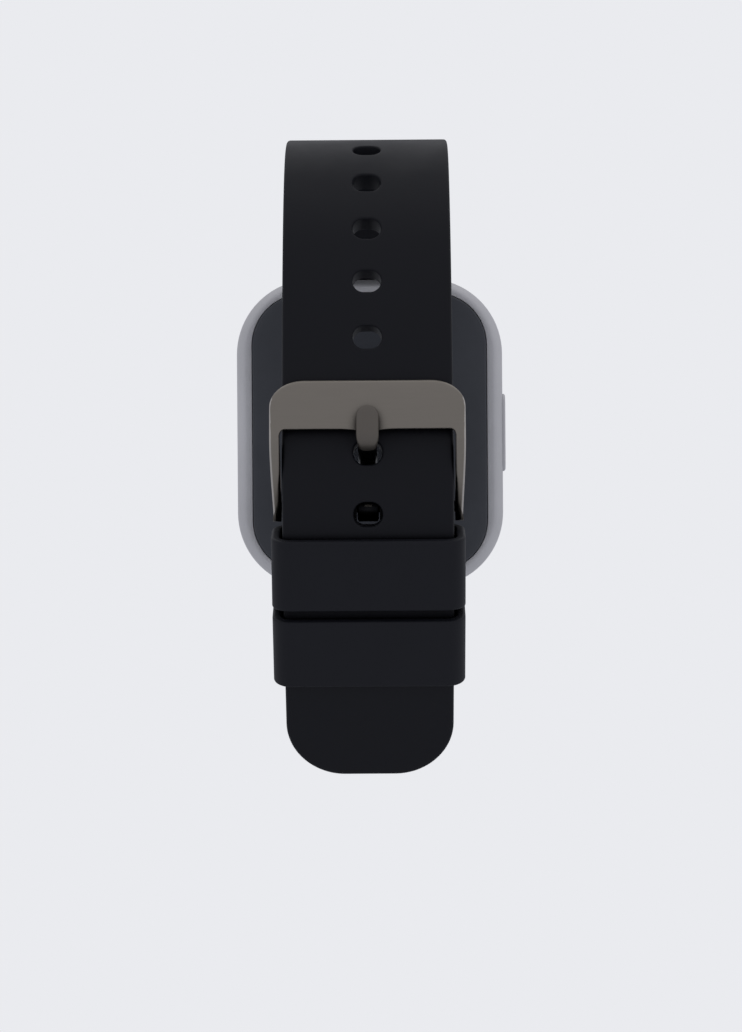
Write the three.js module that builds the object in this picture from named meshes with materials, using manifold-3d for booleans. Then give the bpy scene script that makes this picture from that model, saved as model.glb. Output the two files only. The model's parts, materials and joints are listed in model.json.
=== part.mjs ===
// Square smartwatch closed on its strap. Millimetres, +Z up, display faces -Y, side button on -X.
// The origin is the middle of the flat sensor window on the case back.
import * as THREE from "three";
import { mergeVertices } from "three/addons/utils/BufferGeometryUtils.js";
import Module from "manifold-3d";

const wasm = await Module();
wasm.setup();

// Case
const CASE_HALF_W = 17.8;
const CASE_HALF_H = 20.7;
const CASE_CORNER = 10.1;
const BACK_RIM_Y = -1.6;
const WIDEST_Y = -5.6;
const FRONT_RIM_Y = -10.2;
const BACK_INSET = 1.45;
const FRONT_INSET = 1.1;
const CAVITY_HALF = 15.3;

// Back cover and sensor
const COVER_HALF_W = 15.75;
const COVER_HALF_H = 18.65;
const COVER_CORNER = 7.0;
const COVER_FACE_Y = -1.3;
const DOME_R = 11.0;
const DOME_Y = -0.25;
const WINDOW_R = 8.0;

// Strap slots and spring bars
const SLOT_HALF_W = 10.3;
const SLOT_Z = 16.0;
const LUG_Y = -5.6;
const LUG_Z = 18.3;
const TUBE_R = 0.75;
const TIP_R = 0.42;
const LEVER_X = 7.3;

// Strap
const STRAP_HALF_W = 10.0;
const STRAP_T = 2.4;
const LUG_END_T = 4.0;
const TAIL_CORNER = 7.0;
const HOLE_PITCH = 6.96;
const HOLE_COUNT = 9;
const HOLE_HALF_W = 1.7;
const HOLE_HALF_H = 1.38;
const SEVENTH_HOLE_S = 83.3;
const PLATE_S = 78.0;
const LAYER_GAP = 0.3;

// Bends of the holed strap from its spring bar to its free end: [length, turn in degrees]
const HOLED_BENDS = [
  [3, 0], [12, 59.4], [23, 46.6], [9.5, 32], [10, 17], [13, 12], [9.5, -2], [14, 28], [20, 16], [9.7, -6],
];
const BAR_BEND = 7;
const KEEPER_BEND = 8;
// Turns of the buckle strap: out of the case, under the wrist, and round the heel of the loop
const BUCKLE_STRAP_EXIT = [[3, 0], [12, 65]];
const UNDER_TURN = 30;
const HEEL_TURN = 56;

// Buckle
const BAR_Z = -10;
const KNUCKLE_R = 2.0;
const BAR_R = 0.7;
const FRAME_HALF_W = 11.35;
const WINDOW_HALF_W = 10.2;
const BAR_HALF_L = 11.0;
const PLATE_TOP_Z = 4.7;
const PLATE_BOTTOM_Z = -1.0;
const PLATE_T = 1.5;
const PLATE_LIFT = STRAP_T / 2 + 0.35;
const PLATE_CORNER = 4.0;
const TONGUE_HALF_W = 1.25;
const TONGUE_T = 1.0;

// Keepers
const KEEPER_HALF_W = 11.35;
const KEEPER_INNER_HALF_W = 10.2;
const KEEPER_WALL = 1.15;
const KEEPER_CLEARANCE = 0.15;
const KEEPER_LENGTH = 8.5;
const UPPER_KEEPER_DEG = -15.45;
const LOWER_KEEPER_DEG = -23.05;

const BUTTON_HALF_L = 5.2;
const BUTTON_HALF_T = 1.35;
const BUTTON_PROUD = 0.35;

const rad = THREE.MathUtils.degToRad;

// ---------- solids ----------

// A closed body from points and triangles, turned to face outwards
function closedBody(points, index) {
  let volume = 0;
  for (let i = 0; i < index.length; i += 3) {
    const [a, b, c] = [points[index[i]], points[index[i + 1]], points[index[i + 2]]];
    volume += a.x * (b.y * c.z - b.z * c.y) - a.y * (b.x * c.z - b.z * c.x) + a.z * (b.x * c.y - b.y * c.x);
  }
  if (volume < 0) index.reverse();
  const body = new THREE.BufferGeometry();
  body.setAttribute("position", new THREE.Float32BufferAttribute(points.flatMap((p) => [p.x, p.y, p.z]), 3));
  body.setIndex(index);
  return body;
}

// Skin over a row of outlines with equal counts, with a fan closing each end
function loft(outlines) {
  const n = outlines[0].length;
  const points = outlines.flat();
  const index = [];
  for (let k = 0; k + 1 < outlines.length; k++) {
    for (let i = 0; i < n; i++) {
      const a = k * n + i;
      const b = k * n + ((i + 1) % n);
      index.push(a, b, b + n, a, b + n, a + n);
    }
  }
  for (const [k, flip] of [[0, true], [outlines.length - 1, false]]) {
    const middle = points.length;
    points.push(outlines[k].reduce((sum, p) => sum.add(p), new THREE.Vector3()).divideScalar(n));
    for (let i = 0; i < n; i++) {
      const a = k * n + i;
      const b = k * n + ((i + 1) % n);
      index.push(...(flip ? [middle, b, a] : [middle, a, b]));
    }
  }
  return closedBody(points, index);
}

function toManifold(geometry) {
  let g = geometry.clone();
  g.deleteAttribute("normal");
  g.deleteAttribute("uv");
  g = mergeVertices(g, 1e-4);
  const mesh = new wasm.Mesh({
    numProp: 3,
    vertProperties: new Float32Array(g.attributes.position.array),
    triVerts: new Uint32Array(g.index.array),
  });
  return new wasm.Manifold(mesh);
}

function fromManifold(solid) {
  const mesh = solid.getMesh();
  const g = new THREE.BufferGeometry();
  g.setAttribute("position", new THREE.Float32BufferAttribute(mesh.vertProperties, 3));
  g.setIndex(Array.from(mesh.triVerts));
  return g;
}

function subtract(body, ...tools) {
  return fromManifold(tools.reduce((solid, tool) => solid.subtract(toManifold(tool)), toManifold(body)));
}

function unite(body, ...others) {
  return fromManifold(others.reduce((solid, other) => solid.add(toManifold(other)), toManifold(body)));
}

function common(a, b) {
  return fromManifold(toManifold(a).intersect(toManifold(b)));
}

function roundedRect(halfW, halfH, r) {
  const s = new THREE.Shape();
  s.moveTo(halfW, -halfH + r);
  s.lineTo(halfW, halfH - r);
  s.absarc(halfW - r, halfH - r, r, 0, Math.PI / 2);
  s.lineTo(-halfW + r, halfH);
  s.absarc(-halfW + r, halfH - r, r, Math.PI / 2, Math.PI);
  s.lineTo(-halfW, -halfH + r);
  s.absarc(-halfW + r, -halfH + r, r, Math.PI, 1.5 * Math.PI);
  s.lineTo(halfW - r, -halfH);
  s.absarc(halfW - r, -halfH + r, r, 1.5 * Math.PI, 2 * Math.PI);
  return s;
}

// A shape drawn in XZ and given thickness from y0 up to y1
function slab(shape, y0, y1, x = 0, z = 0, curveSegments = 8) {
  const g = new THREE.ExtrudeGeometry(shape, { depth: y1 - y0, bevelEnabled: false, curveSegments });
  return g.rotateX(Math.PI / 2).translate(x, y1, z);
}

function block(x0, x1, y0, y1, z0, z1) {
  const g = new THREE.BoxGeometry(x1 - x0, y1 - y0, z1 - z0);
  return g.translate((x0 + x1) / 2, (y0 + y1) / 2, (z0 + z1) / 2);
}

function chip(halfW, halfH, r, y0, y1, x, z) {
  return slab(roundedRect(halfW, halfH, r), y0, y1, x, z, r > 3 ? 8 : 3);
}

function discY(r, y0, y1, x = 0, z = 0, segments = 36) {
  return new THREE.CylinderGeometry(r, r, y1 - y0, segments).translate(x, (y0 + y1) / 2, z);
}

function rodX(r, x0, x1, y, z, segments = 24) {
  return new THREE.CylinderGeometry(r, r, x1 - x0, segments).rotateZ(Math.PI / 2).translate((x0 + x1) / 2, y, z);
}

// Points round a rounded rectangle in XZ at one height of Y
function outlineAt(halfW, halfH, r, y, steps) {
  const points = [];
  const corners = [[1, 1, 0], [-1, 1, 90], [-1, -1, 180], [1, -1, 270]];
  for (const [sx, sz, from] of corners) {
    for (let i = 0; i <= steps; i++) {
      const a = rad(from + i * 90 / steps);
      points.push(new THREE.Vector3(
        sx * (halfW - r) + r * Math.cos(a), y, sz * (halfH - r) + r * Math.sin(a)));
    }
  }
  return points;
}

// ---------- strap path ----------

// Walks tangent arcs in YZ. heading 0 is +Z and turns towards +Y; side -1 mirrors the path in Z.
function walk(y, z, heading, bends, side = 1, step = 2.5) {
  const path = [];
  let s = 0;
  const mark = () => path.push({
    s, y, z: side * z,
    ty: Math.sin(heading), tz: side * Math.cos(heading),
    ny: -Math.cos(heading), nz: side * Math.sin(heading),
  });
  mark();
  for (const [length, turn] of bends) {
    const parts = Math.max(Math.ceil(length / step), Math.ceil(Math.abs(turn) / 5));
    for (let i = 0; i < parts; i++) {
      const middle = heading + rad(turn) / parts / 2;
      const chord = turn ? (2 * length / rad(turn)) * Math.sin(rad(turn) / parts / 2) : length / parts;
      y += chord * Math.sin(middle);
      z += chord * Math.cos(middle);
      heading += rad(turn) / parts;
      s += length / parts;
      mark();
    }
  }
  return path;
}

function at(path, s) {
  const k = Math.max(1, path.findIndex((p) => p.s >= s));
  const [a, b] = [path[k - 1], path[k]];
  const f = (s - a.s) / (b.s - a.s);
  const mix = Object.fromEntries(Object.keys(a).map((key) => [key, a[key] + f * (b[key] - a[key])]));
  return mix;
}

const holedPath = walk(LUG_Y, LUG_Z, 0, HOLED_BENDS);

// Centre of one bend of the holed strap, the radius of the strap's middle there, and where it starts
function bendCentre(bend) {
  const start = HOLED_BENDS.slice(0, bend).reduce((sum, [length]) => sum + length, 0);
  const [length, turn] = HOLED_BENDS[bend];
  const radius = length / rad(turn);
  const p = at(holedPath, start + 1e-6);
  return { y: p.y - radius * p.ny, z: p.z - radius * p.nz, radius, from: Math.atan2(p.nz, p.ny) };
}

// The keepers slide round one bend, and the bar lies inside the bend above it
const CENTRE = bendCentre(KEEPER_BEND);
const BAR_CENTRE = bendCentre(BAR_BEND);
const UNDER_RADIUS = CENTRE.radius - STRAP_T - LAYER_GAP;
const UNDER_BAR_RADIUS = BAR_CENTRE.radius - STRAP_T - LAYER_GAP;
const BAR_RADIUS = BAR_CENTRE.radius - STRAP_T / 2 - LAYER_GAP - KNUCKLE_R;
const BAR_ANGLE = Math.asin((BAR_Z - BAR_CENTRE.z) / BAR_RADIUS);
const BAR_Y = BAR_CENTRE.y + BAR_RADIUS * Math.cos(BAR_ANGLE);

// The buckle strap meets the keeper bend tangentially: the lengths of its two middle bends are solved for
function buckleStrapBends() {
  const exitTurn = BUCKLE_STRAP_EXIT.reduce((sum, [, turn]) => sum + turn, 0);
  const reach = (bends) => walk(0, 0, rad(exitTurn), bends).at(-1);
  const start = walk(LUG_Y, LUG_Z, 0, BUCKLE_STRAP_EXIT).at(-1);
  const joinAngle = rad(180 - exitTurn - UNDER_TURN - HEEL_TURN);
  const target = {
    y: CENTRE.y + UNDER_RADIUS * Math.cos(joinAngle),
    z: -(CENTRE.z - UNDER_RADIUS * Math.sin(joinAngle)),
  };
  const u = reach([[1, UNDER_TURN]]);
  const both = reach([[1, UNDER_TURN], [1, HEEL_TURN]]);
  const v = { y: both.y - u.y, z: both.z - u.z };
  const [dy, dz] = [target.y - start.y, target.z - start.z];
  const det = u.y * v.z - u.z * v.y;
  const under = (dy * v.z - dz * v.y) / det;
  const heel = (u.y * dz - u.z * dy) / det;
  const keeperArc = joinAngle + CENTRE.from;
  const barArc = BAR_ANGLE - CENTRE.from;
  const { radToDeg } = THREE.MathUtils;
  return [
    ...BUCKLE_STRAP_EXIT, [under, UNDER_TURN], [heel, HEEL_TURN],
    [UNDER_RADIUS * keeperArc, radToDeg(keeperArc)], [UNDER_BAR_RADIUS * barArc, radToDeg(barArc)],
  ];
}

const bucklePath = walk(LUG_Y, LUG_Z, 0, buckleStrapBends(), -1);

// Rounded section of the strap across its path
function strapSection(p, halfW, thickness, shift = 0) {
  const r = Math.min(0.7, thickness / 2.2);
  const points = [];
  for (const [sx, sn, from] of [[1, 1, 0], [-1, 1, 90], [-1, -1, 180], [1, -1, 270]]) {
    for (let i = 0; i <= 2; i++) {
      const a = rad(from + i * 45);
      const x = sx * (halfW - r) + r * Math.cos(a);
      const n = sn * (thickness / 2 - r) + r * Math.sin(a) + shift;
      points.push(new THREE.Vector3(x, p.y + n * p.ny, p.z + n * p.nz));
    }
  }
  return points;
}

// The strap is thick where it holds the spring bar and thins to its full length over the first bend
function strapThickness(s) {
  const f = THREE.MathUtils.smoothstep(s, 1.5, 13);
  return LUG_END_T + (STRAP_T - LUG_END_T) * f;
}

function holedStrap() {
  const length = holedPath.at(-1).s;
  const from = length - TAIL_CORNER;
  const body = holedPath.filter((p) => p.s < from);
  const tip = [...Array(10).keys()].map((i) => at(holedPath, from + TAIL_CORNER * Math.sin(rad(i * 10)) - 1e-6));
  const halfW = (s) => {
    const d = Math.min(Math.max(0, s - from), TAIL_CORNER);
    return STRAP_HALF_W - TAIL_CORNER + Math.sqrt(TAIL_CORNER ** 2 - d ** 2);
  };
  const outlines = [...body, ...tip].map((p) => strapSection(p, halfW(p.s), strapThickness(p.s)));
  const lugEnd = rodX(LUG_END_T / 2, -STRAP_HALF_W, STRAP_HALF_W, LUG_Y, LUG_Z);
  const bore = rodX(TUBE_R + 0.12, -STRAP_HALF_W - 1, STRAP_HALF_W + 1, LUG_Y, LUG_Z);
  const holes = [...Array(HOLE_COUNT).keys()].map((i) => strapHole(SEVENTH_HOLE_S + (i - 6) * HOLE_PITCH));
  return subtract(unite(loft(outlines), lugEnd), bore, thumbCut(1), ...holes);
}

// Oblong prism that cuts one adjustment hole square through the strap
function strapHole(s) {
  const p = at(holedPath, s);
  const prism = slab(roundedRect(HOLE_HALF_W, HOLE_HALF_H, HOLE_HALF_H - 0.01), -STRAP_T, STRAP_T, 0, 0, 5);
  const basis = new THREE.Matrix4().makeBasis(
    new THREE.Vector3(1, 0, 0), new THREE.Vector3(0, p.ny, p.nz), new THREE.Vector3(0, -p.nz, p.ny));
  return prism.applyMatrix4(basis.setPosition(0, p.y, p.z));
}

// Recess in the wrist side of a strap end, where the thumb lever of the spring bar sits
function thumbCut(side) {
  return endBlock(side, LEVER_X - 1.9, LEVER_X + 0.9, LUG_Y, LUG_Y + 3, LUG_Z - 0.7, LUG_Z + 3.3);
}

// A block at the top end of the case, or its mirror at the bottom end
function endBlock(side, x0, x1, y0, y1, z0, z1) {
  return side > 0 ? block(x0, x1, y0, y1, z0, z1) : block(x0, x1, y0, y1, -z1, -z0);
}

function buckleStrap() {
  const outlines = bucklePath.map((p) => strapSection(p, STRAP_HALF_W, strapThickness(p.s)));
  const lugEnd = rodX(LUG_END_T / 2, -STRAP_HALF_W, STRAP_HALF_W, LUG_Y, -LUG_Z);
  const knuckle = rodX(KNUCKLE_R, -STRAP_HALF_W, STRAP_HALF_W, BAR_Y, BAR_Z);
  const lugBore = rodX(TUBE_R + 0.12, -STRAP_HALF_W - 1, STRAP_HALF_W + 1, LUG_Y, -LUG_Z);
  const barBore = rodX(BAR_R + 0.1, -STRAP_HALF_W - 1, STRAP_HALF_W + 1, BAR_Y, BAR_Z);
  const tongueSlot = block(-1.65, 1.65, BAR_Y - 4, BAR_Y + 4, BAR_Z - 2.3, BAR_Z + 4);
  return subtract(unite(loft(outlines), lugEnd, knuckle), lugBore, barBore, tongueSlot, thumbCut(-1));
}

// ---------- buckle ----------

// Place in YZ, given by the distance up along the strap from under the plate and out from the strap's middle
function overPlate(up, out) {
  const p = at(holedPath, PLATE_S);
  return [p.y - up * p.ty + out * p.ny, p.z - up * p.tz + out * p.nz];
}

// Side view of the buckle frame: an arm from the bar up to the plate, which lies over the strap
function frameSide() {
  const s = new THREE.Shape();
  s.moveTo(BAR_Y + 1.7 * Math.cos(rad(-38)), BAR_Z + 1.7 * Math.sin(rad(-38)));
  s.quadraticCurveTo(BAR_Y + 5.7, BAR_Z + 4.6, ...overPlate(-4.4, PLATE_LIFT + PLATE_T));
  s.quadraticCurveTo(...overPlate(0, PLATE_LIFT + PLATE_T + 0.35), ...overPlate(3.1, PLATE_LIFT + PLATE_T - 0.25));
  s.lineTo(...overPlate(3.1, PLATE_LIFT));
  s.lineTo(...overPlate(-4.0, PLATE_LIFT));
  s.quadraticCurveTo(BAR_Y + 1.9, BAR_Z + 5.4, BAR_Y - 1.5, BAR_Z + 1.2);
  s.absarc(BAR_Y, BAR_Z, 1.7, rad(145), rad(322), false);
  return s;
}

// The side view is drawn in YZ and given the frame's full width along X
function acrossX(shape, halfW) {
  const g = new THREE.ExtrudeGeometry(shape, { depth: 2 * halfW, bevelEnabled: false, curveSegments: 14 });
  const basis = new THREE.Matrix4().makeBasis(
    new THREE.Vector3(0, 1, 0), new THREE.Vector3(0, 0, 1), new THREE.Vector3(1, 0, 0));
  return g.applyMatrix4(basis).translate(-halfW, 0, 0);
}

function frontOutline() {
  const s = new THREE.Shape();
  const bottom = BAR_Z - 3;
  s.moveTo(FRAME_HALF_W - 0.3, bottom);
  s.lineTo(FRAME_HALF_W, PLATE_TOP_Z - PLATE_CORNER);
  s.absarc(FRAME_HALF_W - PLATE_CORNER, PLATE_TOP_Z - PLATE_CORNER, PLATE_CORNER, 0, Math.PI / 2);
  s.lineTo(-FRAME_HALF_W + PLATE_CORNER, PLATE_TOP_Z);
  s.absarc(-FRAME_HALF_W + PLATE_CORNER, PLATE_TOP_Z - PLATE_CORNER, PLATE_CORNER, Math.PI / 2, Math.PI);
  s.lineTo(-FRAME_HALF_W + 0.3, bottom);
  return s;
}

function buckleFrame() {
  const window = roundedRect(WINDOW_HALF_W, 8, 0.9);
  const solid = common(acrossX(frameSide(), FRAME_HALF_W + 1), slab(frontOutline(), BAR_Y - 8, BAR_Y + 12));
  return subtract(solid, slab(window, BAR_Y - 9, BAR_Y + 13, 0, PLATE_BOTTOM_Z - 8), frameBores());
}

function frameBores() {
  return rodX(BAR_R + 0.05, -FRAME_HALF_W - 1, FRAME_HALF_W + 1, BAR_Y, BAR_Z);
}

// The tongue climbs behind the strap, turns out through the seventh hole and lies on the plate
function tongue() {
  const rest = PLATE_LIFT + PLATE_T + 0.45 + TONGUE_T / 2;
  const stations = [
    [BAR_Y, BAR_Z + 1.2], [BAR_Y, BAR_Z + 3.0], [BAR_Y + 0.7, BAR_Z + 4.9],
    overPlate(-5.4, -0.4), overPlate(-5.25, 1.0), overPlate(-5.1, 2.2), overPlate(-4.85, 3.2),
    overPlate(-4.25, 3.85), overPlate(-3.3, rest), overPlate(-1.8, rest), overPlate(-0.4, rest),
  ];
  const curve = new THREE.CatmullRomCurve3(stations.map(([y, z]) => new THREE.Vector3(0, y, z)));
  const count = 26;
  const outlines = [...Array(count + 1).keys()].map((i) => {
    const u = i / count;
    const p = curve.getPointAt(u);
    const t = curve.getTangentAt(u);
    const wide = TONGUE_HALF_W + 0.15 * THREE.MathUtils.smoothstep(u, 0.6, 0.85);
    const tip = Math.max(0, (u - 0.9) / 0.1);
    return tongueSection(p, t, wide * Math.sqrt(Math.max(0.04, 1 - tip ** 2)), TONGUE_T * (1 - 0.35 * tip));
  });
  const eye = rodX(1.75, -TONGUE_HALF_W, TONGUE_HALF_W, BAR_Y, BAR_Z);
  const bore = rodX(BAR_R + 0.1, -3, 3, BAR_Y, BAR_Z);
  return subtract(unite(loft(outlines), eye), bore);
}

function tongueSection(p, t, halfW, thickness) {
  const across = [[1, 1, 0], [-1, 1, 90], [-1, -1, 180], [1, -1, 270]];
  const r = Math.min(0.3, halfW * 0.9, thickness * 0.4);
  return across.flatMap(([sx, sn, from]) => [0, 45, 90].map((i) => {
    const x = sx * (halfW - r) + r * Math.cos(rad(from + i));
    const n = sn * (thickness / 2 - r) + r * Math.sin(rad(from + i));
    return new THREE.Vector3(x, p.y + n * t.z, p.z - n * t.y);
  }));
}

// ---------- keepers ----------

// A straight block laid along the strap, given by the direction from the bend's centre to its middle
function blockAlong(degrees, inner, outer, halfW, length, r) {
  const n = { y: Math.cos(rad(degrees)), z: Math.sin(rad(degrees)) };
  const prism = slab(roundedRect(halfW, (outer - inner) / 2, r), -length / 2, length / 2, 0, 0, 6);
  const basis = new THREE.Matrix4().makeBasis(
    new THREE.Vector3(1, 0, 0), new THREE.Vector3(0, n.z, -n.y), new THREE.Vector3(0, n.y, n.z));
  const middle = (inner + outer) / 2;
  return prism.applyMatrix4(basis.setPosition(0, CENTRE.y + middle * n.y, CENTRE.z + middle * n.z));
}

// A keeper is a short straight loop round both layers. It touches the outer one at its middle
// and the inner one at its two lips.
function keeper(degrees) {
  const strapInner = UNDER_RADIUS - STRAP_T / 2;
  const outer = CENTRE.radius + STRAP_T / 2 + KEEPER_CLEARANCE;
  const inner = strapInner * Math.cos(Math.asin(KEEPER_LENGTH / 2 / strapInner)) - KEEPER_CLEARANCE;
  const body = blockAlong(degrees, inner - KEEPER_WALL, outer + KEEPER_WALL, KEEPER_HALF_W, KEEPER_LENGTH, 2.2);
  return subtract(body, blockAlong(degrees, inner, outer, KEEPER_INNER_HALF_W, KEEPER_LENGTH + 2, 0.4));
}

// ---------- case ----------

function caseFrame() {
  const outlines = [];
  const add = (y, inset) => outlines.push(
    outlineAt(CASE_HALF_W - inset, CASE_HALF_H - inset, CASE_CORNER - inset, y, 9));
  for (let i = 0; i <= 6; i++) {
    const t = Math.cos(rad(i * 15));
    add(WIDEST_Y + t * (BACK_RIM_Y - WIDEST_Y), BACK_INSET * (1 - Math.sqrt(1 - t * t)));
  }
  for (let i = 1; i <= 6; i++) {
    const t = Math.sin(rad(i * 15));
    add(WIDEST_Y + t * (FRONT_RIM_Y - WIDEST_Y), FRONT_INSET * (1 - Math.sqrt(1 - t * t)));
  }
  const cutOut = COVER_HALF_W + 0.1;
  return subtract(
    loft(outlines),
    chip(cutOut, COVER_HALF_H + 0.1, COVER_CORNER + 0.1, -2.75, 0, 0, 0),
    chip(CAVITY_HALF, 15.4, 5, -9, 0, 0, 0),
    chip(15.9, 18.4, 6, -12, -8.45, 0, 0),
    chip(16.3, 19.2, 8.5, -12, -9.35, 0, 0),
    ...[1, -1].map((side) => endBlock(side, -SLOT_HALF_W, SLOT_HALF_W, -8.0, -3.2, SLOT_Z, 22)),
    ...[1, -1].map((side) => endBlock(side, LEVER_X - 2.1, LEVER_X + 1.1, -3.3, 0, 19.1, 22)),
    rodX(TIP_R + 0.12, -11.6, 11.6, LUG_Y, LUG_Z),
    rodX(TIP_R + 0.12, -11.6, 11.6, LUG_Y, -LUG_Z),
    slabX(BUTTON_HALF_T + 0.15, BUTTON_HALF_L + 0.15, -19, -16.9),
    rodX(0.75, -17.5, -14, LUG_Y, 0),
  );
}

// A long rounded block standing on the side wall, thickness along Y and length along Z
function slabX(halfT, halfL, x0, x1) {
  const shape = roundedRect(halfL, halfT, halfT - 0.01);
  const g = new THREE.ExtrudeGeometry(shape, { depth: x1 - x0, bevelEnabled: false, curveSegments: 10 });
  const basis = new THREE.Matrix4().makeBasis(
    new THREE.Vector3(0, 0, 1), new THREE.Vector3(0, 1, 0), new THREE.Vector3(-1, 0, 0));
  return g.applyMatrix4(basis).translate(x1, LUG_Y, 0);
}

function sideButton() {
  const cap = slabX(BUTTON_HALF_T, BUTTON_HALF_L, -CASE_HALF_W - BUTTON_PROUD, -17.45);
  return unite(cap, rodX(0.5, -17.6, -14.4, LUG_Y, 0, 20));
}

function backCover() {
  const plate = chip(COVER_HALF_W, COVER_HALF_H, COVER_CORNER, -2.0, COVER_FACE_Y, 0, 0);
  const dome = new THREE.CylinderGeometry(DOME_R - 1.2, DOME_R, DOME_Y - COVER_FACE_Y, 56)
    .translate(0, (DOME_Y + COVER_FACE_Y) / 2, 0);
  const contacts = [-4.2, 4.2].map((x) => discY(1.02, -3, 1, x, -14.2));
  return subtract(unite(plate, dome), discY(WINDOW_R + 0.15, -1.15, 1), discY(WINDOW_R - 1, -3, 1), ...contacts);
}

function sensorWindow() {
  const edge = new THREE.CylinderGeometry(WINDOW_R, WINDOW_R - 0.5, 0.3, 56).translate(0, -0.15, 0);
  return unite(discY(WINDOW_R, -1.1, -0.29, 0, 0, 56), edge.rotateZ(Math.PI).translate(0, -0.3, 0));
}

function ring(halfW, halfH, r, wall, y0, y1) {
  return subtract(chip(halfW, halfH, r, y0, y1, 0, 0), chip(halfW - wall, halfH - wall, r - wall, y0 - 1, y1 + 1, 0, 0));
}

// ---------- inside ----------

// Plate that carries the board and the battery, with three threaded posts
function chassis() {
  const plate = chip(15.1, 15.2, 4.7, -8.1, -7.5, 0, 0);
  const posts = BOARD_SCREWS.map(([x, z]) => discY(1.1, -7.6, -4.95, x, z, 24));
  const threads = BOARD_SCREWS.map(([x, z]) => discY(0.5, -7.2, -4, x, z, 16));
  return subtract(unite(plate, ...posts), ...threads);
}

const BOARD_SCREWS = [[-12, 11.4], [12, 11.4], [12, 3.0]];
const BOARD_Z = [1.0, 14.0];

function mainBoard() {
  const middle = (BOARD_Z[0] + BOARD_Z[1]) / 2;
  const board = chip(14.2, (BOARD_Z[1] - BOARD_Z[0]) / 2, 4, -4.85, -4.25, 0, middle);
  const holes = BOARD_SCREWS.map(([x, z]) => discY(0.62, -6, -3, x, z, 16));
  const stemNotch = block(-16, -12.6, -6, -3, -1, 2.4);
  return subtract(board, ...holes, stemNotch);
}

function boardScrew([x, z]) {
  return unite(discY(0.95, -4.15, -3.75, x, z, 20), discY(0.42, -6.6, -4.1, x, z, 16));
}

function tube(side) {
  return rodX(TUBE_R, -9.3, 3.9, LUG_Y, side * LUG_Z, 24);
}

function fixedTip(side) {
  return rodX(TIP_R, -11.2, -9.4, LUG_Y, side * LUG_Z, 20);
}

// The sliding tip of a spring bar carries a thumb lever that lies in the recess of the strap
function slidingTip(side) {
  const lever = endBlock(side, LEVER_X - 0.4, LEVER_X + 0.4, LUG_Y + 0.2, LUG_Y + 1.8, LUG_Z - 0.2, LUG_Z + 2.5);
  return unite(rodX(TIP_R, 5.2, 11.2, LUG_Y, side * LUG_Z, 20), lever);
}

// ---------- assembly ----------

const COLOURS = {
  case_metal: 0xa9aab0, cover: 0x33363d, silicone: 0x1f2024, gunmetal: 0x6a655f, glass: 0x0b0c0e,
  clear: 0x101418, steel: 0xb5b6b8, board: 0x14532f, black: 0x18181a, gold: 0xc9a24a, foil: 0xa5a7a9,
  green: 0x3bd46a, rubber: 0x202020, flex: 0xb87a2c,
};

const part = new THREE.Group();

function piece(name, geometry, colour) {
  const mesh = new THREE.Mesh(geometry, new THREE.MeshStandardMaterial({ color: COLOURS[colour] }));
  mesh.name = name;
  part.add(mesh);
}

piece("case_frame", caseFrame(), "case_metal");
piece("side_button", sideButton(), "case_metal");
piece("back_cover", backCover(), "cover");
piece("sensor_window", sensorWindow(), "clear");
piece("holed_strap", holedStrap(), "silicone");
piece("buckle_strap", buckleStrap(), "silicone");
piece("keeper_upper", keeper(UPPER_KEEPER_DEG), "silicone");
piece("keeper_lower", keeper(LOWER_KEEPER_DEG), "silicone");
piece("buckle_frame", buckleFrame(), "gunmetal");
piece("buckle_bar", rodX(BAR_R, -BAR_HALF_L, BAR_HALF_L, BAR_Y, BAR_Z), "steel");
piece("buckle_tongue", tongue(), "gunmetal");

piece("cover_glass", chip(16.1, 19.0, 8.3, -11.2, -9.4, 0, 0), "glass");
piece("display_panel", chip(15.3, 17.8, 5.5, -9.05, -8.55, 0, 0), "black");
piece("display_gasket", ring(15.7, 18.2, 5.9, 0.7, -9.32, -9.12), "rubber");
piece("back_gasket", ring(15.6, 18.5, 6.85, 0.28, -2.6, -2.15), "rubber");
piece("chassis", chassis(), "foil");
piece("battery", chip(13.2, 6.6, 1.2, -7.3, -3.6, 0, -8.0), "foil");
piece("main_board", mainBoard(), "board");
piece("processor", chip(3.6, 3.6, 0.2, -5.75, -4.95, -4.5, 7.6), "black");
piece("memory_chip", chip(2.4, 3.2, 0.2, -5.65, -4.95, 2.6, 7.8), "black");
piece("power_chip", chip(1.7, 1.7, 0.15, -5.55, -4.95, 7.6, 10.4), "black");
piece("radio_shield", chip(4.2, 2.4, 0.3, -4.15, -3.35, 5.0, 10.6), "steel");
piece("battery_connector", chip(2.2, 0.9, 0.15, -4.15, -3.4, -8.6, 2.4), "black");
piece("vibration_motor", chip(1.9, 3.6, 1.8, -7.3, -5.1, -11.6, 6.2), "steel");
piece("display_flex", chip(2.4, 6.0, 0.3, -8.4, -8.22, 6.0, 3.0), "flex");
piece("sensor_board", discY(6.6, -3.35, -2.85), "board");
piece("light_detector", chip(1.3, 1.3, 0.15, -2.75, -2.2, 0, 0), "black");
piece("green_light_upper", chip(0.8, 0.8, 0.1, -2.75, -2.3, 0, 3.6), "green");
piece("green_light_lower", chip(0.8, 0.8, 0.1, -2.75, -2.3, 0, -3.6), "green");
piece("charge_contact_left", discY(0.9, -2.9, COVER_FACE_Y - 0.05, -4.2, -14.2, 28), "gold");
piece("charge_contact_right", discY(0.9, -2.9, COVER_FACE_Y - 0.05, 4.2, -14.2, 28), "gold");
piece("charge_magnet_left", discY(2.0, -3.4, -2.15, -10.2, -11.0, 32), "steel");
piece("charge_magnet_right", discY(2.0, -3.4, -2.15, 10.2, -11.0, 32), "steel");
piece("antenna_strip", chip(0.4, 4.2, 0.2, -7.2, -3.2, 14.6, -5.4), "flex");
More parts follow.
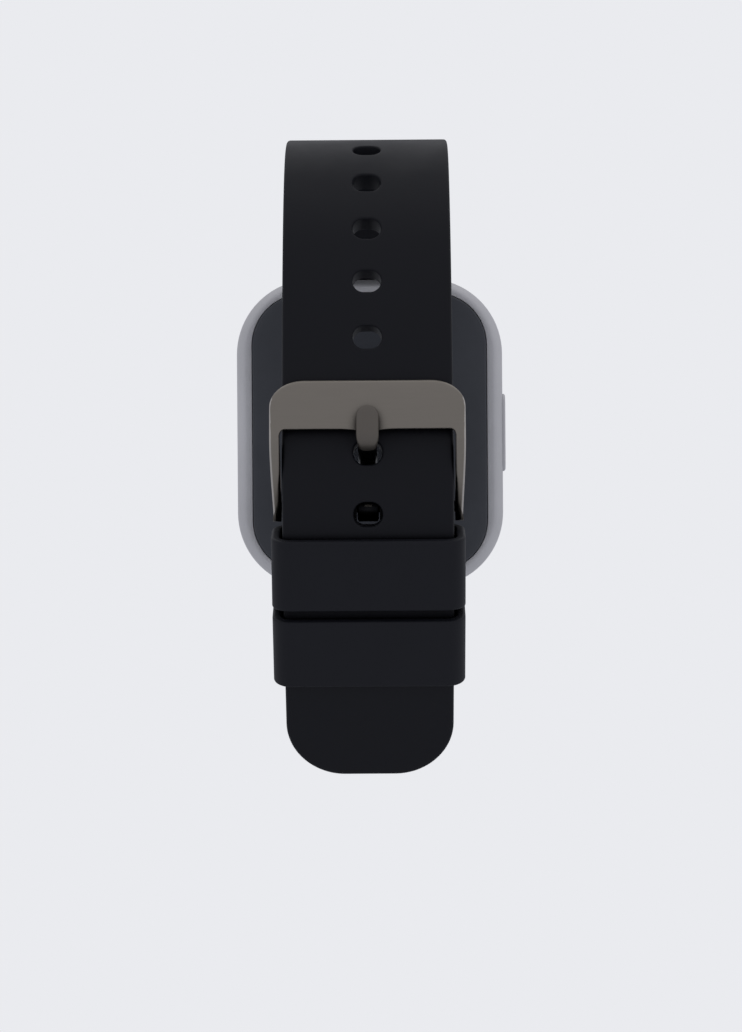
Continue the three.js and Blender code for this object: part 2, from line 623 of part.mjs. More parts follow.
piece("button_seal", subtract(rodX(0.7, -16.2, -15.6, LUG_Y, 0, 28), rodX(0.53, -17, -15, LUG_Y, 0, 28)), "rubber");
piece("button_switch", block(-13.9, -12.8, -7.1, -4.95, -1.1, 1.1), "black");
BOARD_SCREWS.forEach((place, i) => piece(`board_screw_${i + 1}`, boardScrew(place), "steel"));
for (const [name, side] of [["upper", 1], ["lower", -1]]) {
  piece(`spring_bar_tube_${name}`, tube(side), "steel");
  piece(`spring_bar_fixed_tip_${name}`, fixedTip(side), "steel");
  piece(`spring_bar_sliding_tip_${name}`, slidingTip(side), "steel");
}

export default part;
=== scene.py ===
import json
import math

import bmesh
import bpy
from mathutils import Matrix, Vector


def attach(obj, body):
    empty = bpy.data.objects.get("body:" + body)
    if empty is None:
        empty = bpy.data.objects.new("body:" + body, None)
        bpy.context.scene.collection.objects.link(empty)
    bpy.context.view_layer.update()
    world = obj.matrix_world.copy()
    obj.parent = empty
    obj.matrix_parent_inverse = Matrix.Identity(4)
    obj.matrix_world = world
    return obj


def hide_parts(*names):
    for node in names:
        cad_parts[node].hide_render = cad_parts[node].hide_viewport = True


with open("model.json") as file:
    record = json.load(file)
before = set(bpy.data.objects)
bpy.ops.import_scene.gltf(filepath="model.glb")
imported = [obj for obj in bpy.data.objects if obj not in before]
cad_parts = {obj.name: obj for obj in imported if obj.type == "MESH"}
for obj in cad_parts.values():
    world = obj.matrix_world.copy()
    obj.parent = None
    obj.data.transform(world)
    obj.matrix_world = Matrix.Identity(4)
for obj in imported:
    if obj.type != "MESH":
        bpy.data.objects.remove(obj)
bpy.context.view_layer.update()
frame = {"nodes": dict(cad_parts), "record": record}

MM = 0.001

# All lengths below are in millimetres and all angles in degrees, unless a comment says otherwise.

# Camera: level, behind the wrist side of the loop, on a long lens
CAMERA_AT = (-2.1, 361.1, -11.1)
CAMERA_YAW = 0.319
CAMERA_ROLL = 0.4
CAMERA_LENS = 95.2

# Studio: the lamps' places and sizes are in metres
BACKDROP = (0.823, 0.831, 0.863)
WORLD_COLOUR = (0.94, 0.955, 1.03)
WORLD_LIGHT = 0.5
OVERHEAD = 0.32
OVERHEAD_TILT = 20
OVERHEAD_SPREAD = 70
RIM_SIZE = (0.25, 0.5)
RIM_AIM = (0, 0.03, 0)
RIGHT_RIM_AT = (-0.42, -0.12, 0.1)
RIGHT_RIM_POWER = 0.06
LEFT_RIM_AT = (0.45, -0.1, 0.08)
LEFT_RIM_POWER = 0.03
FLOOR_Z = -105
FLOOR_HALF = 2e4

# Case
CASE_HALF = (17.8, 20.7)
CASE_CORNER = 10.1
BACK_RIM_Y = -1.6
WIDEST_Y = -5.6
FRONT_RIM_Y = -10.2
BACK_INSET = 1.45
FRONT_INSET = 1.1
LUG_Y = -5.6
LUG_Z = 18.3
LEVER_X = 7.3
STRAP_SLOT_HALF_W = 10.3
STRAP_SLOT_Y = (-8.0, -3.2)
STRAP_SLOT_Z = (16.0, 22)
LEVER_NOTCH_Y = (-3.3, 0)
LEVER_NOTCH_Z = (19.1, 22)

# Outlines inside the case as (half width, half height, corner radius), and the heights of its ledges
GLASS = (16.1, 19.0, 8.3)
GLASS_OPENING = (16.3, 19.2, 8.5)
GLASS_LEDGE = (15.9, 18.4, 6)
CAVITY = (15.3, 15.4, 5)
COVER = (15.55, 18.45, 6.85)
COVER_OPENING = (15.65, 18.55, 6.95)
GLASS_LEDGE_Y = -9.35
CAVITY_FRONT_Y = -8.45
COVER_LEDGE_Y = -2.75
COVER_BACK_Y = -1.3
COVER_EDGE_R = 0.28

# Sensor, charging contacts and side button
SENSOR_RING_R = 11.0
SENSOR_RING_RISE = 1.1
SENSOR_WINDOW_R = 8.0
SENSOR_EDGE_R = 0.42
CONTACT_X = 4.2
CONTACT_Z = -14.2
BUTTON_HALF_T = 1.35
BUTTON_HALF_L = 5.2
BUTTON_PROUD = 0.35
BUTTON_EDGE_R = 0.3

# Strap path: [length, turn in degrees] from the spring bar of the holed strap to its free end
HOLED_BENDS = [(3, 0), (12, 59.4), (23, 46.6), (9.5, 32), (10, 17), (13, 12), (9.5, -2), (14, 28), (20, 16),
               (9.7, -6)]
PATH_STEP = 0.6
BAR_BEND = 7
KEEPER_BEND = 8
EXIT_BENDS = [(3, 0), (12, 65)]
UNDER_TURN = 30
HEEL_TURN = 56
STRAP_HALF_W = 10.0
STRAP_T = 2.4
STRAP_EDGE_R = 0.42
LUG_END_T = 4.0
LAYER_GAP = 0.3
TAIL_CORNER = 7.0
SEVENTH_HOLE_S = 83.3
HOLE_PITCH = 6.96
HOLE_COUNT = 9
HOLE_HALF = (1.7, 1.38)
HOLE_RIM = 0.22
PLATE_S = 78.0
SLOT_HALF_W = 1.36

# Buckle and keepers
BAR_Z = -10.0
KNUCKLE_R = 2.0
FRAME_HALF_W = 11.38
WINDOW_HALF_W = 10.2
WINDOW_CORNER = 0.65
TOP_CORNER = (4.0, 3.1)
BAR_HALF_L = 11.0
BAR_R = 0.7
BORE_R = 0.8
FOOT_R = 1.7
PLATE_TOP_Z = 4.7
PLATE_BOTTOM_Z = -1.0
PLATE_T = 1.5
PLATE_LIFT = STRAP_T / 2 + 0.35
TONGUE_HALF_W = 1.32
SHANK_HALF_W = 1.1
EYE_HALF_W = 1.25
EYE_R = 1.75
# Half width of the spot on the tongue's eye left bright as a painted highlight
GLINT_HALF_W = 0.42
TONGUE_T = 1.0
TONGUE_NOSE = 1.4
TONGUE_BEND = 5.3
KEEPER_HALF_W = 11.35
KEEPER_CORNER = 2.2
KEEPER_WALL = 1.15
KEEPER_LIP_R = 0.3
KEEPER_CLEARANCE = 0.15
KEEPER_LENGTH = 8.5
UPPER_KEEPER = -15.45
LOWER_KEEPER = -23.05


# ---------- strap path ----------

def walk(y, z, heading, bends, side=1):
    """Tangent arcs in YZ as a list of stations (s, y, z, ty, tz, ny, nz); side -1 mirrors in Z."""
    path, s = [], 0.0

    def mark():
        path.append((s, y, side * z, math.sin(heading), side * math.cos(heading),
                     -math.cos(heading), side * math.sin(heading)))

    mark()
    for length, turn in bends:
        parts = max(1, math.ceil(length / PATH_STEP))
        part = math.radians(turn) / parts
        chord = 2 * length / (part * parts) * math.sin(part / 2) if turn else length / parts
        for _ in range(parts):
            y += chord * math.sin(heading + part / 2)
            z += chord * math.cos(heading + part / 2)
            heading += part
            s += length / parts
            mark()
    return path


def at(path, s):
    """The station at a length along the path; past either end it runs straight on."""
    if s <= 0 or s >= path[-1][0]:
        e = path[0] if s <= 0 else path[-1]
        d = s - e[0]
        return (s, e[1] + d * e[3], e[2] + d * e[4], *e[3:])
    k = next(i for i, p in enumerate(path) if p[0] >= s and i)
    a, b = path[k - 1], path[k]
    f = (s - a[0]) / (b[0] - a[0])
    return tuple(u + f * (v - u) for u, v in zip(a, b))


HOLED = walk(LUG_Y, LUG_Z, 0, HOLED_BENDS)


def bend_centre(bend):
    """Centre (y, z) of one bend, the radius of the strap's middle there, and the angle where it starts."""
    length, turn = HOLED_BENDS[bend]
    radius = length / math.radians(turn)
    p = at(HOLED, sum(b[0] for b in HOLED_BENDS[:bend]) + 1e-6)
    return p[1] - radius * p[5], p[2] - radius * p[6], radius, math.atan2(p[6], p[5])


CENTRE_Y, CENTRE_Z, KEEPER_R, KEEPER_FROM = bend_centre(KEEPER_BEND)
HEAD_Y, HEAD_Z, HEAD_R, _ = bend_centre(BAR_BEND)
UNDER_R = KEEPER_R - STRAP_T - LAYER_GAP
UNDER_HEAD_R = HEAD_R - STRAP_T - LAYER_GAP
BAR_RADIUS = HEAD_R - STRAP_T / 2 - LAYER_GAP - KNUCKLE_R
BAR_ANGLE = math.asin((BAR_Z - HEAD_Z) / BAR_RADIUS)
BAR_Y = HEAD_Y + BAR_RADIUS * math.cos(BAR_ANGLE)


def buckle_strap_bends():
    """The two middle bends are as long as it takes to meet the keeper bend tangentially."""
    exit_turn = sum(b[1] for b in EXIT_BENDS)
    start = walk(LUG_Y, LUG_Z, 0, EXIT_BENDS)[-1]
    join = math.radians(180 - exit_turn - UNDER_TURN - HEEL_TURN)
    dy = CENTRE_Y + UNDER_R * math.cos(join) - start[1]
    dz = -(CENTRE_Z - UNDER_R * math.sin(join)) - start[2]
    turned = math.radians(exit_turn)
    u = walk(0, 0, turned, [(1, UNDER_TURN)])[-1]
    both = walk(0, 0, turned, [(1, UNDER_TURN), (1, HEEL_TURN)])[-1]
    v = (both[1] - u[1], both[2] - u[2])
    det = u[1] * v[1] - u[2] * v[0]
    under = (dy * v[1] - dz * v[0]) / det
    heel = (u[1] * dz - u[2] * dy) / det
    low_arc, top_arc = join + KEEPER_FROM, BAR_ANGLE - KEEPER_FROM
    return [*EXIT_BENDS, (under, UNDER_TURN), (heel, HEEL_TURN), (UNDER_R * low_arc, math.degrees(low_arc)),
            (UNDER_HEAD_R * top_arc, math.degrees(top_arc))]


BUCKLE = walk(LUG_Y, LUG_Z, 0, buckle_strap_bends(), -1)


def over_plate(up, out):
    """Place in YZ: up along the strap from under the plate, and out from the strap's middle."""
    p = at(HOLED, PLATE_S)
    return (p[1] - up * p[3] + out * p[5], p[2] - up * p[4] + out * p[6])


# ---------- mesh helpers ----------

def new_object(name, points, faces):
    mesh = bpy.data.meshes.new(name)
    mesh.from_pydata([Vector(p) * MM for p in points], [], faces)
    obj = bpy.data.objects.new(name, mesh)
    bpy.context.scene.collection.objects.link(obj)
    bm = bmesh.new()
    bm.from_mesh(mesh)
    bmesh.ops.recalc_face_normals(bm, faces=bm.faces)
    bm.to_mesh(mesh)
    bm.free()
    return obj


def skin(name, rings, closed=False):
    """Quads between rings of equal count; closed joins the last ring to the first, open ends get caps."""
    n = len(rings[0])
    points = [p for ring in rings for p in ring]
    faces = []
    last = len(rings) if closed else len(rings) - 1
    for k in range(last):
        a, b = k * n, ((k + 1) % len(rings)) * n
        for i in range(n):
            j = (i + 1) % n
            faces.append((a + i, a + j, b + j, b + i))
    if not closed:
        faces.append(tuple(range(n)))
        faces.append(tuple((len(rings) - 1) * n + i for i in range(n)))
    return new_object(name, points, faces)


def apply_all(obj):
    """Bakes the modifiers into the mesh."""
    bpy.context.view_layer.update()
    dg = bpy.context.evaluated_depsgraph_get()
    baked = bpy.data.meshes.new_from_object(obj.evaluated_get(dg))
    obj.modifiers.clear()
    old = obj.data
    obj.data = baked
    bpy.data.meshes.remove(old)
    return obj


def cut(obj, cutters, operation="DIFFERENCE"):
    """Cuts the tools out of a mesh, or joins them to it, and deletes them."""
    for tool in cutters:
        m = obj.modifiers.new("cut", "BOOLEAN")
        m.object = tool
        m.operation = operation
        m.solver = "EXACT"
    apply_all(obj)
    for tool in cutters:
        mesh = tool.data
        bpy.data.objects.remove(tool)
        bpy.data.meshes.remove(mesh)
    return obj


def round_edges(obj, width, angle):
    """Rounds the edges where two faces meet at more than the given angle."""
    m = obj.modifiers.new("round", "BEVEL")
    m.width = width * MM
    m.segments = 3
    m.limit_method = "ANGLE"
    m.angle_limit = math.radians(angle)
    m.miter_outer = "MITER_ARC"
    m.use_clamp_overlap = True
    return apply_all(obj)


def second_look(obj, chosen):
    """Gives the second material to the faces chosen by their middle, in millimetres, and their normal."""
    for face in obj.data.polygons:
        face.material_index = int(chosen(face.center / MM, face.normal))
    return obj


def smooth(obj, sharp=35):
    """Smooth shading, kept crisp where two faces meet at more than the given angle."""
    bm = bmesh.new()
    bm.from_mesh(obj.data)
    for f in bm.faces:
        f.smooth = True
    for e in bm.edges:
        e.smooth = len(e.link_faces) != 2 or e.calc_face_angle(0) < math.radians(sharp)
    bm.to_mesh(obj.data)
    bm.free()
    return obj


def rounded(half_w, half_h, r, steps=14, straight=10):
    """Points round a rounded rectangle, with the same count whatever its size."""
    points = []
    corners = [(1, 1, 0), (-1, 1, 90), (-1, -1, 180), (1, -1, 270)]
    for k, (sx, sy, start) in enumerate(corners):
        for i in range(steps + 1):
            a = math.radians(start + 90 * i / steps)
            points.append((sx * (half_w - r) + r * math.cos(a), sy * (half_h - r) + r * math.sin(a)))
        nx, ny, first = corners[(k + 1) % 4]
        a = math.radians(first)
        end = (nx * (half_w - r) + r * math.cos(a), ny * (half_h - r) + r * math.sin(a))
        last = points[-1]
        for i in range(1, straight):
            f = i / straight
            points.append((last[0] + f * (end[0] - last[0]), last[1] + f * (end[1] - last[1])))
    return points


def plate_rings(levels, **kw):
    """Rings in XZ at several heights of Y: levels are (y, half width, half height, corner)."""
    return [[(x, y, z) for x, z in rounded(hw, hh, r, **kw)] for y, hw, hh, r in levels]


def lathe(name, profile, x=0.0, z=0.0, count=96):
    """Turns (radius, y) points about an axis along Y; the first and last radius are 0."""
    points, faces, rows = [], [], []
    for r, y in profile:
        if r == 0:
            rows.append([len(points)])
            points.append((x, y, z))
        else:
            rows.append(list(range(len(points), len(points) + count)))
            points += [(x + r * math.cos(2 * math.pi * i / count), y,
                        z + r * math.sin(2 * math.pi * i / count)) for i in range(count)]
    for a, b in zip(rows, rows[1:]):
        for i in range(count):
            j = (i + 1) % count
            if len(a) == 1:
                faces.append((a[0], b[i], b[j]))
            elif len(b) == 1:
                faces.append((a[j], a[i], b[0]))
            else:
                faces.append((a[i], b[i], b[j], a[j]))
    return new_object(name, points, faces)


def block(x0, x1, y0, y1, z0, z1):
    """A box to cut with."""
    points = [(x, y, z) for x in (x0, x1) for y in (y0, y1) for z in (z0, z1)]
    faces = [(0, 1, 3, 2), (4, 6, 7, 5), (0, 4, 5, 1), (2, 3, 7, 6), (0, 2, 6, 4), (1, 5, 7, 3)]
    return new_object("cutter", points, faces)


def bar_x(name, profile, y, z, count=48):
    """Turns (x, radius) points about an axis along X."""
    rings = [[(x, y + r * math.cos(2 * math.pi * i / count), z + r * math.sin(2 * math.pi * i / count))
              for i in range(count)] for x, r in profile]
    return skin(name, rings)


# ---------- straps ----------

# Columns this far in from the strap's edge, and the block of cells that each hole sits in
EDGE_STEPS = (0.0, 0.03, 0.09, 0.17, 0.27, 0.42, 0.8, 1.5)
BLOCK_HALF = (2.9, 2.5)
BLOCK_CELLS = 12


def smoothstep(x, lo, hi):
    """From 0 at lo to 1 at hi, level at both ends."""
    t = min(max((x - lo) / (hi - lo), 0), 1)
    return t * t * (3 - 2 * t)


def strap_columns():
    """Places across the strap, close together at its edges, with even ones over the row of holes."""
    edge = [STRAP_HALF_W - d for d in EDGE_STEPS]
    wide, inner = edge[-1], BLOCK_HALF[0]
    between = [wide + (inner - wide) * k / 7 for k in range(1, 7)]
    middle = [inner - 2 * inner * k / BLOCK_CELLS for k in range(BLOCK_CELLS + 1)]
    side = edge + between
    return side + middle + [-x for x in reversed(side)]


def strap_thickness(s):
    """Thick at the spring bar, thinning to the even strap."""
    return LUG_END_T + (STRAP_T - LUG_END_T) * smoothstep(s, 1.5, 13)


def edge_drop(distance, r):
    """How far a face lies below its flat at a distance from the edge, for an edge of radius r."""
    d = min(max(distance, 0.0), r)
    return r - math.sqrt(max(0.0, r * r - (r - d) ** 2))


def oblong_point(half_w, half_h, angle):
    """Where a ray from the middle meets an oblong with round ends."""
    r = half_h - 0.01
    c, s = math.cos(angle), math.sin(angle)
    lo, hi = 0.0, half_w + half_h
    for _ in range(30):
        t = (lo + hi) / 2
        dx, dy = max(abs(t * c) - half_w + r, 0), max(abs(t * s) - half_h + r, 0)
        if math.hypot(dx, dy) < r:
            lo = t
        else:
            hi = t
    return lo * c, lo * s


class StrapMesh:
    """A strap as an outer and an inner face over one grid of rows and columns, joined all round."""

    def __init__(self, path, rows):
        self.path, self.rows = path, rows
        self.points, self.faces = [], []
        self.columns = strap_columns()
        self.grid = {side: [self.row(k, side) for k in range(len(rows))] for side in (1, -1)}

    def add(self, x, s, n):
        """Adds a point by its place across the strap, along it and out of its middle."""
        p = at(self.path, s)
        self.points.append((x, p[1] + n * p[5], p[2] + n * p[6]))
        return len(self.points) - 1

    def row(self, k, side):
        """One row of points on the outer (1) or inner (-1) face."""
        s, half_w, thick, shift, tip = self.rows[k]
        r = min(STRAP_EDGE_R, thick * 0.48)
        out = []
        for x in self.columns:
            x *= half_w / STRAP_HALF_W
            distance = half_w - abs(x) if tip is None else tail_distance(x, tip)
            out.append(self.add(x, s, shift + side * (thick / 2 - edge_drop(distance, r))))
        return out

    def quad(self, side, a, b, c, d):
        self.faces.append((a, b, c, d) if side > 0 else (d, c, b, a))

    def skin(self, blocks):
        """Fills the grid except the blocks, given as (first row, last row)."""
        first = next(i for i, x in enumerate(self.columns) if abs(x - BLOCK_HALF[0]) < 1e-6)
        for side, grid in self.grid.items():
            for k in range(len(grid) - 1):
                holed = any(lo <= k < hi for lo, hi in blocks)
                for j in range(len(self.columns) - 1):
                    if holed and first <= j < first + BLOCK_CELLS:
                        continue
                    self.quad(side, grid[k][j], grid[k][j + 1], grid[k + 1][j + 1], grid[k + 1][j])
        self.close()
        return first

    def close(self):
        """Joins the two faces all round their rim."""
        top, low = self.grid[1], self.grid[-1]
        n = len(self.columns) - 1
        loop = [(0, j) for j in range(n)] + [(k, n) for k in range(len(top) - 1)]
        loop += [(len(top) - 1, j) for j in range(n, 0, -1)] + [(k, 0) for k in range(len(top) - 1, 0, -1)]
        for (ka, ja), (kb, jb) in zip(loop, loop[1:] + loop[:1]):
            self.faces.append((top[kb][jb], top[ka][ja], low[ka][ja], low[kb][jb]))

    def hole(self, middle, lo, hi, first):
        """An oblong hole with rounded rims in the block of rows lo to hi."""
        walls = {}
        for side, grid in self.grid.items():
            last = first + BLOCK_CELLS
            rim = [(lo, j) for j in range(first, last)] + [(k, last) for k in range(lo, hi)]
            rim += [(hi, j) for j in range(last, first, -1)] + [(k, first) for k in range(hi, lo, -1)]
            flat = [(self.columns[j], self.rows[k][0] - middle) for k, j in rim]
            angles = [math.atan2(t / BLOCK_HALF[1], x / BLOCK_HALF[0]) for x, t in flat]
            ring = [grid[k][j] for k, j in rim]
            rows = [(HOLE_RIM, 0.0, f) for f in (0.3, 0.62, 0.85, 1.0)]
            for a in map(math.radians, (22, 45, 68, 90)):
                rows.append((HOLE_RIM * (1 - math.sin(a)), HOLE_RIM * (1 - math.cos(a)), 1.0))
            for grow, drop, f in rows:
                new = []
                for (x, t), a in zip(flat, angles):
                    ox, ot = oblong_point(HOLE_HALF[0] + grow, HOLE_HALF[1] + grow, a)
                    across, along = x + f * (ox - x), middle + t + f * (ot - t)
                    new.append(self.add(across, along, side * (STRAP_T / 2 - drop)))
                self.join(side, ring, new)
                ring = new
            walls[side] = ring
        self.join(1, walls[1], walls[-1])

    def join(self, side, ring, new):
        """Quads between two rings of points."""
        for i in range(len(ring)):
            j = (i + 1) % len(ring)
            self.quad(side, ring[i], ring[j], new[j], new[i])

    def build(self, name):
        return new_object(name, self.points, self.faces)


def tail_distance(x, left):
    """Distance to the rounded outline of the free end, for a place this far from its tip."""
    qx = abs(x) - (STRAP_HALF_W - TAIL_CORNER)
    qs = TAIL_CORNER - left
    return TAIL_CORNER - (math.hypot(qx, qs) if qx > 0 and qs > 0 else max(qx, qs))


def lug_rows():
    """The round end of a strap about its spring bar."""
    half = LUG_END_T / 2
    return [(-half * math.cos(a), STRAP_HALF_W, max(0.3, LUG_END_T * math.sin(a)), 0.0, None)
            for a in map(math.radians, range(6, 90, 7))]


def thumb_cutter(side):
    """The notch in a strap's end that leaves room for the thumb lever of its spring bar."""
    z = sorted((side * (LUG_Z - 0.7), side * (LUG_Z + 3.3)))
    return block(LEVER_X - 1.9, LEVER_X + 0.9, LUG_Y, LUG_Y + 3, *z)


def even_steps(lo, hi, step):
    """Even places from lo up to hi, leaving out hi."""
    count = max(1, round((hi - lo) / step))
    return [lo + (hi - lo) * k / count for k in range(count)]


def holed_strap():
    """The strap with the row of holes and the rounded free end."""
    length = HOLED[-1][0]
    middles = [SEVENTH_HOLE_S + (i - 6) * HOLE_PITCH for i in range(HOLE_COUNT)]
    stops, marks, place = [], [], 0.0
    for m in middles:
        lo, hi = m - BLOCK_HALF[1], m + BLOCK_HALF[1]
        stops += even_steps(place, lo, 0.6)
        start = len(stops)
        stops += [lo + (hi - lo) * k / BLOCK_CELLS for k in range(BLOCK_CELLS)]
        marks.append((start, start + BLOCK_CELLS))
        place = hi
    tail = length - TAIL_CORNER
    stops += even_steps(place, tail, 0.5)
    rows = [(s, STRAP_HALF_W, strap_thickness(s), 0.0, None) for s in stops]
    near_tip = [TAIL_CORNER * (1 - math.sin(math.radians(a))) for a in range(0, 72, 4)]
    near_tip = [d for d in near_tip if d > 0.5] + [0.42, 0.27, 0.17, 0.09, 0.03, 0.0]
    for left in near_tip:
        d = TAIL_CORNER - left
        half_w = STRAP_HALF_W - TAIL_CORNER + math.sqrt(max(0.0, TAIL_CORNER ** 2 - d ** 2))
        rows.append((length - left, half_w, STRAP_T, 0.0, left))
    lug = lug_rows()
    mesh = StrapMesh(HOLED, lug + rows)
    blocks = [(a + len(lug), b + len(lug)) for a, b in marks]
    first = mesh.skin(blocks)
    for m, (lo, hi) in zip(middles, blocks):
        mesh.hole(m, lo, hi, first)
    return smooth(cut(mesh.build("strap_with_holes"), [thumb_cutter(1)]), 50)


def buckle_strap():
    """The strap that carries the buckle, with its knuckle, the bar's bore and the tongue's slot."""
    end = BUCKLE[-1][0]
    rows = lug_rows()
    for s in even_steps(0, end, 0.7):
        grow = (2 * KNUCKLE_R - STRAP_T) * smoothstep(s, end - 5.5, end - 0.8)
        rows.append((s, STRAP_HALF_W, strap_thickness(s) + grow, -grow / 2, None))
    drop = -(KNUCKLE_R - STRAP_T / 2)
    for a in range(0, 90, 8):
        rows.append((end + KNUCKLE_R * math.sin(math.radians(a)), STRAP_HALF_W,
                     max(0.3, 2 * KNUCKLE_R * math.cos(math.radians(a))), drop, None))
    mesh = StrapMesh(BUCKLE, rows)
    mesh.skin([])
    slot = block(-SLOT_HALF_W, SLOT_HALF_W, BAR_Y - 4, BAR_Y + 4, BAR_Z - 2.3, BAR_Z + 4)
    bore = bar_x("cutter", [(-BAR_HALF_L, BORE_R), (BAR_HALF_L, BORE_R)], BAR_Y, BAR_Z, 32)
    return smooth(cut(mesh.build("strap_under_buckle"), [slot, bore, thumb_cutter(-1)]), 50)


def keeper(name, degrees):
    """A short straight moulded loop with rounded lips, laid along the strap round both layers."""
    inner_face = UNDER_R - STRAP_T / 2
    outer = KEEPER_R + STRAP_T / 2 + KEEPER_CLEARANCE + KEEPER_WALL
    inner = math.sqrt(inner_face ** 2 - (KEEPER_LENGTH / 2) ** 2) - KEEPER_CLEARANCE - KEEPER_WALL
    middle, half_n = (outer + inner) / 2, (outer - inner) / 2
    out_y, out_z = math.cos(math.radians(degrees)), math.sin(math.radians(degrees))
    wall = rounded(KEEPER_WALL / 2, KEEPER_LENGTH / 2, KEEPER_LIP_R, steps=6, straight=9)
    outline = rounded(KEEPER_HALF_W, half_n, KEEPER_CORNER, steps=16, straight=18)
    rings = []
    for i, (x, n) in enumerate(outline):
        (xa, na), (xb, nb) = outline[i - 1], outline[(i + 1) % len(outline)]
        across = Vector((nb - na, xa - xb)).normalized()
        ring = []
        for t, a in wall:
            depth = t - KEEPER_WALL / 2
            radius = middle + n + across.y * depth
            ring.append((x + across.x * depth, CENTRE_Y + radius * out_y - a * out_z,
                         CENTRE_Z + radius * out_z + a * out_y))
        rings.append(ring)
    return smooth(skin(name, rings, closed=True), 60)


# ---------- buckle ----------

def bezier(a, b, c, count):
    """Points on a quadratic curve from a to c, leaving out c."""
    out = []
    for i in range(count):
        t = i / count
        out.append(tuple((1 - t) ** 2 * u + 2 * t * (1 - t) * v + t * t * w for u, v, w in zip(a, b, c)))
    return out


def table_of(points):
    """y as a function of z from (y, z) points in rising z."""
    def find(z):
        if z <= points[0][1]:
            return points[0][0]
        for a, b in zip(points, points[1:]):
            if z <= b[1]:
                return a[0] + (z - a[1]) / (b[1] - a[1] or 1) * (b[0] - a[0])
        return points[-1][0]
    return find


def foot_arc(degrees):
    """Points on the round end of the frame's arms about the bar, in side view."""
    return [(BAR_Y + FOOT_R * math.cos(a), BAR_Z + FOOT_R * math.sin(a))
            for a in map(math.radians, degrees)]


def foot_z():
    """Just above the lowest point of the frame, where its arms still have some thickness."""
    return BAR_Z - FOOT_R + 0.01


def frame_faces():
    """The outer and inner face of the frame in side view, as y at each z."""
    top = over_plate(3.1, PLATE_LIFT + PLATE_T - 0.25)
    low = over_plate(-4.4, PLATE_LIFT + PLATE_T)
    round_end = foot_arc(range(-90, -37, 4))
    front = round_end[:-1] + bezier(round_end[-1], (BAR_Y + 5.7, BAR_Z + 4.6), low, 24)
    front += bezier(low, over_plate(0, PLATE_LIFT + PLATE_T + 0.35), top, 24) + [top]
    back_end = foot_arc(range(-90, -216, -5))
    knee = over_plate(-4.0, PLATE_LIFT)
    back = back_end[:-1] + bezier(back_end[-1], (BAR_Y + 1.9, BAR_Z + 5.4), knee, 24)
    back += [knee, over_plate(3.1, PLATE_LIFT)]
    return table_of(front), table_of(back)


def along_curve(points, count):
    """Evenly spaced points along a polyline, with both ends."""
    lengths = [0.0]
    for a, b in zip(points, points[1:]):
        lengths.append(lengths[-1] + math.hypot(b[0] - a[0], b[1] - a[1]))
    out, k = [], 0
    for i in range(count + 1):
        want = lengths[-1] * i / count
        while k < len(points) - 2 and lengths[k + 1] < want:
            k += 1
        f = (want - lengths[k]) / (lengths[k + 1] - lengths[k] or 1)
        out.append(tuple(u + f * (v - u) for u, v in zip(points[k], points[k + 1])))
    return out


def quarter(cx, cz, rx, rz):
    """A quarter of an ellipse, from its side to its top."""
    turn = [math.pi / 2 * i / 30 for i in range(31)]
    return [(cx + rx * math.cos(a), cz + rz * math.sin(a)) for a in turn]


def arm_lean(z):
    """How far the outer edge of an arm stands in from the widest part of the frame."""
    return 0.3 * (1 - smoothstep(z, foot_z() - 1.5, PLATE_BOTTOM_Z - WINDOW_CORNER - 1))


def frame_pairs():
    """Matching (outer, inner, chamfer) round the frame in front view, from one foot to the other."""
    foot, bend = foot_z(), PLATE_BOTTOM_Z - WINDOW_CORNER
    half = []
    for k in range(61):
        f = (k / 60) ** 1.3
        z = foot + (bend - foot) * f
        slope = 0.2 * (1 - smoothstep(z, foot, bend))
        chamfer = slope + 0.62 * (1 - smoothstep(z, foot, foot + 2.6))
        half.append(((FRAME_HALF_W - arm_lean(z), z), (WINDOW_HALF_W + 0.04, z), chamfer))
    start = half[-1][0]
    rx, rz = TOP_CORNER
    outer = [start] + quarter(FRAME_HALF_W - rx, PLATE_TOP_Z - rz, rx, rz)
    inner = quarter(WINDOW_HALF_W - WINDOW_CORNER, bend, WINDOW_CORNER, WINDOW_CORNER)
    half += [(o, i, 0.0) for o, i in zip(along_curve(outer, 40), along_curve(inner, 40))][1:]
    flat_outer, flat_inner = FRAME_HALF_W - rx, WINDOW_HALF_W - WINDOW_CORNER
    for k in range(1, 41):
        f = 1 - k / 40
        dip = 0.22 * math.exp(-((flat_inner * f) / 1.9) ** 2)
        half.append(((flat_outer * f, PLATE_TOP_Z), (flat_inner * f, PLATE_BOTTOM_Z - dip), 0.0))
    mirrored = [((-o[0], o[1]), (-i[0], i[1]), c) for o, i, c in half[:-1]]
    return half + mirrored[::-1]


def frame_section(width, depth, chamfer):
    """Points round a cross-section: (distance in from the outer edge, side, depth under its face)."""
    straight = 8
    turn = [math.pi / 2 * k / 5 for k in range(6)]
    r_out, r_in = min(0.3, width * 0.3, depth * 0.42), min(0.16, width * 0.2, depth * 0.42)
    outer = [(r_out * (1 - math.cos(a)), r_out * (1 - math.sin(a))) for a in turn]
    cut_in, cut_deep = r_in + chamfer, min(r_in + 1.6 * chamfer, depth * 0.8)
    inner = [(width - cut_in * (1 - math.cos(a)), cut_deep * (1 - math.sin(a))) for a in reversed(turn)]
    back = [(width - r_in * (1 - math.cos(a)), r_in * (1 - math.sin(a))) for a in turn]
    ring = [(d, 1, e) for d, e in outer]
    ring += [(r_out + (width - r_out - cut_in) * k / straight, 1, 0.0) for k in range(1, straight)]
    ring += [(d, 1, e) for d, e in inner] + [(d, -1, min(e, depth * 0.1)) for d, e in back]
    ring += [(width - r_in - (width - r_out - r_in) * k / straight, -1, 0.0) for k in range(1, straight)]
    return ring + [(d, -1, e) for d, e in reversed(outer)]


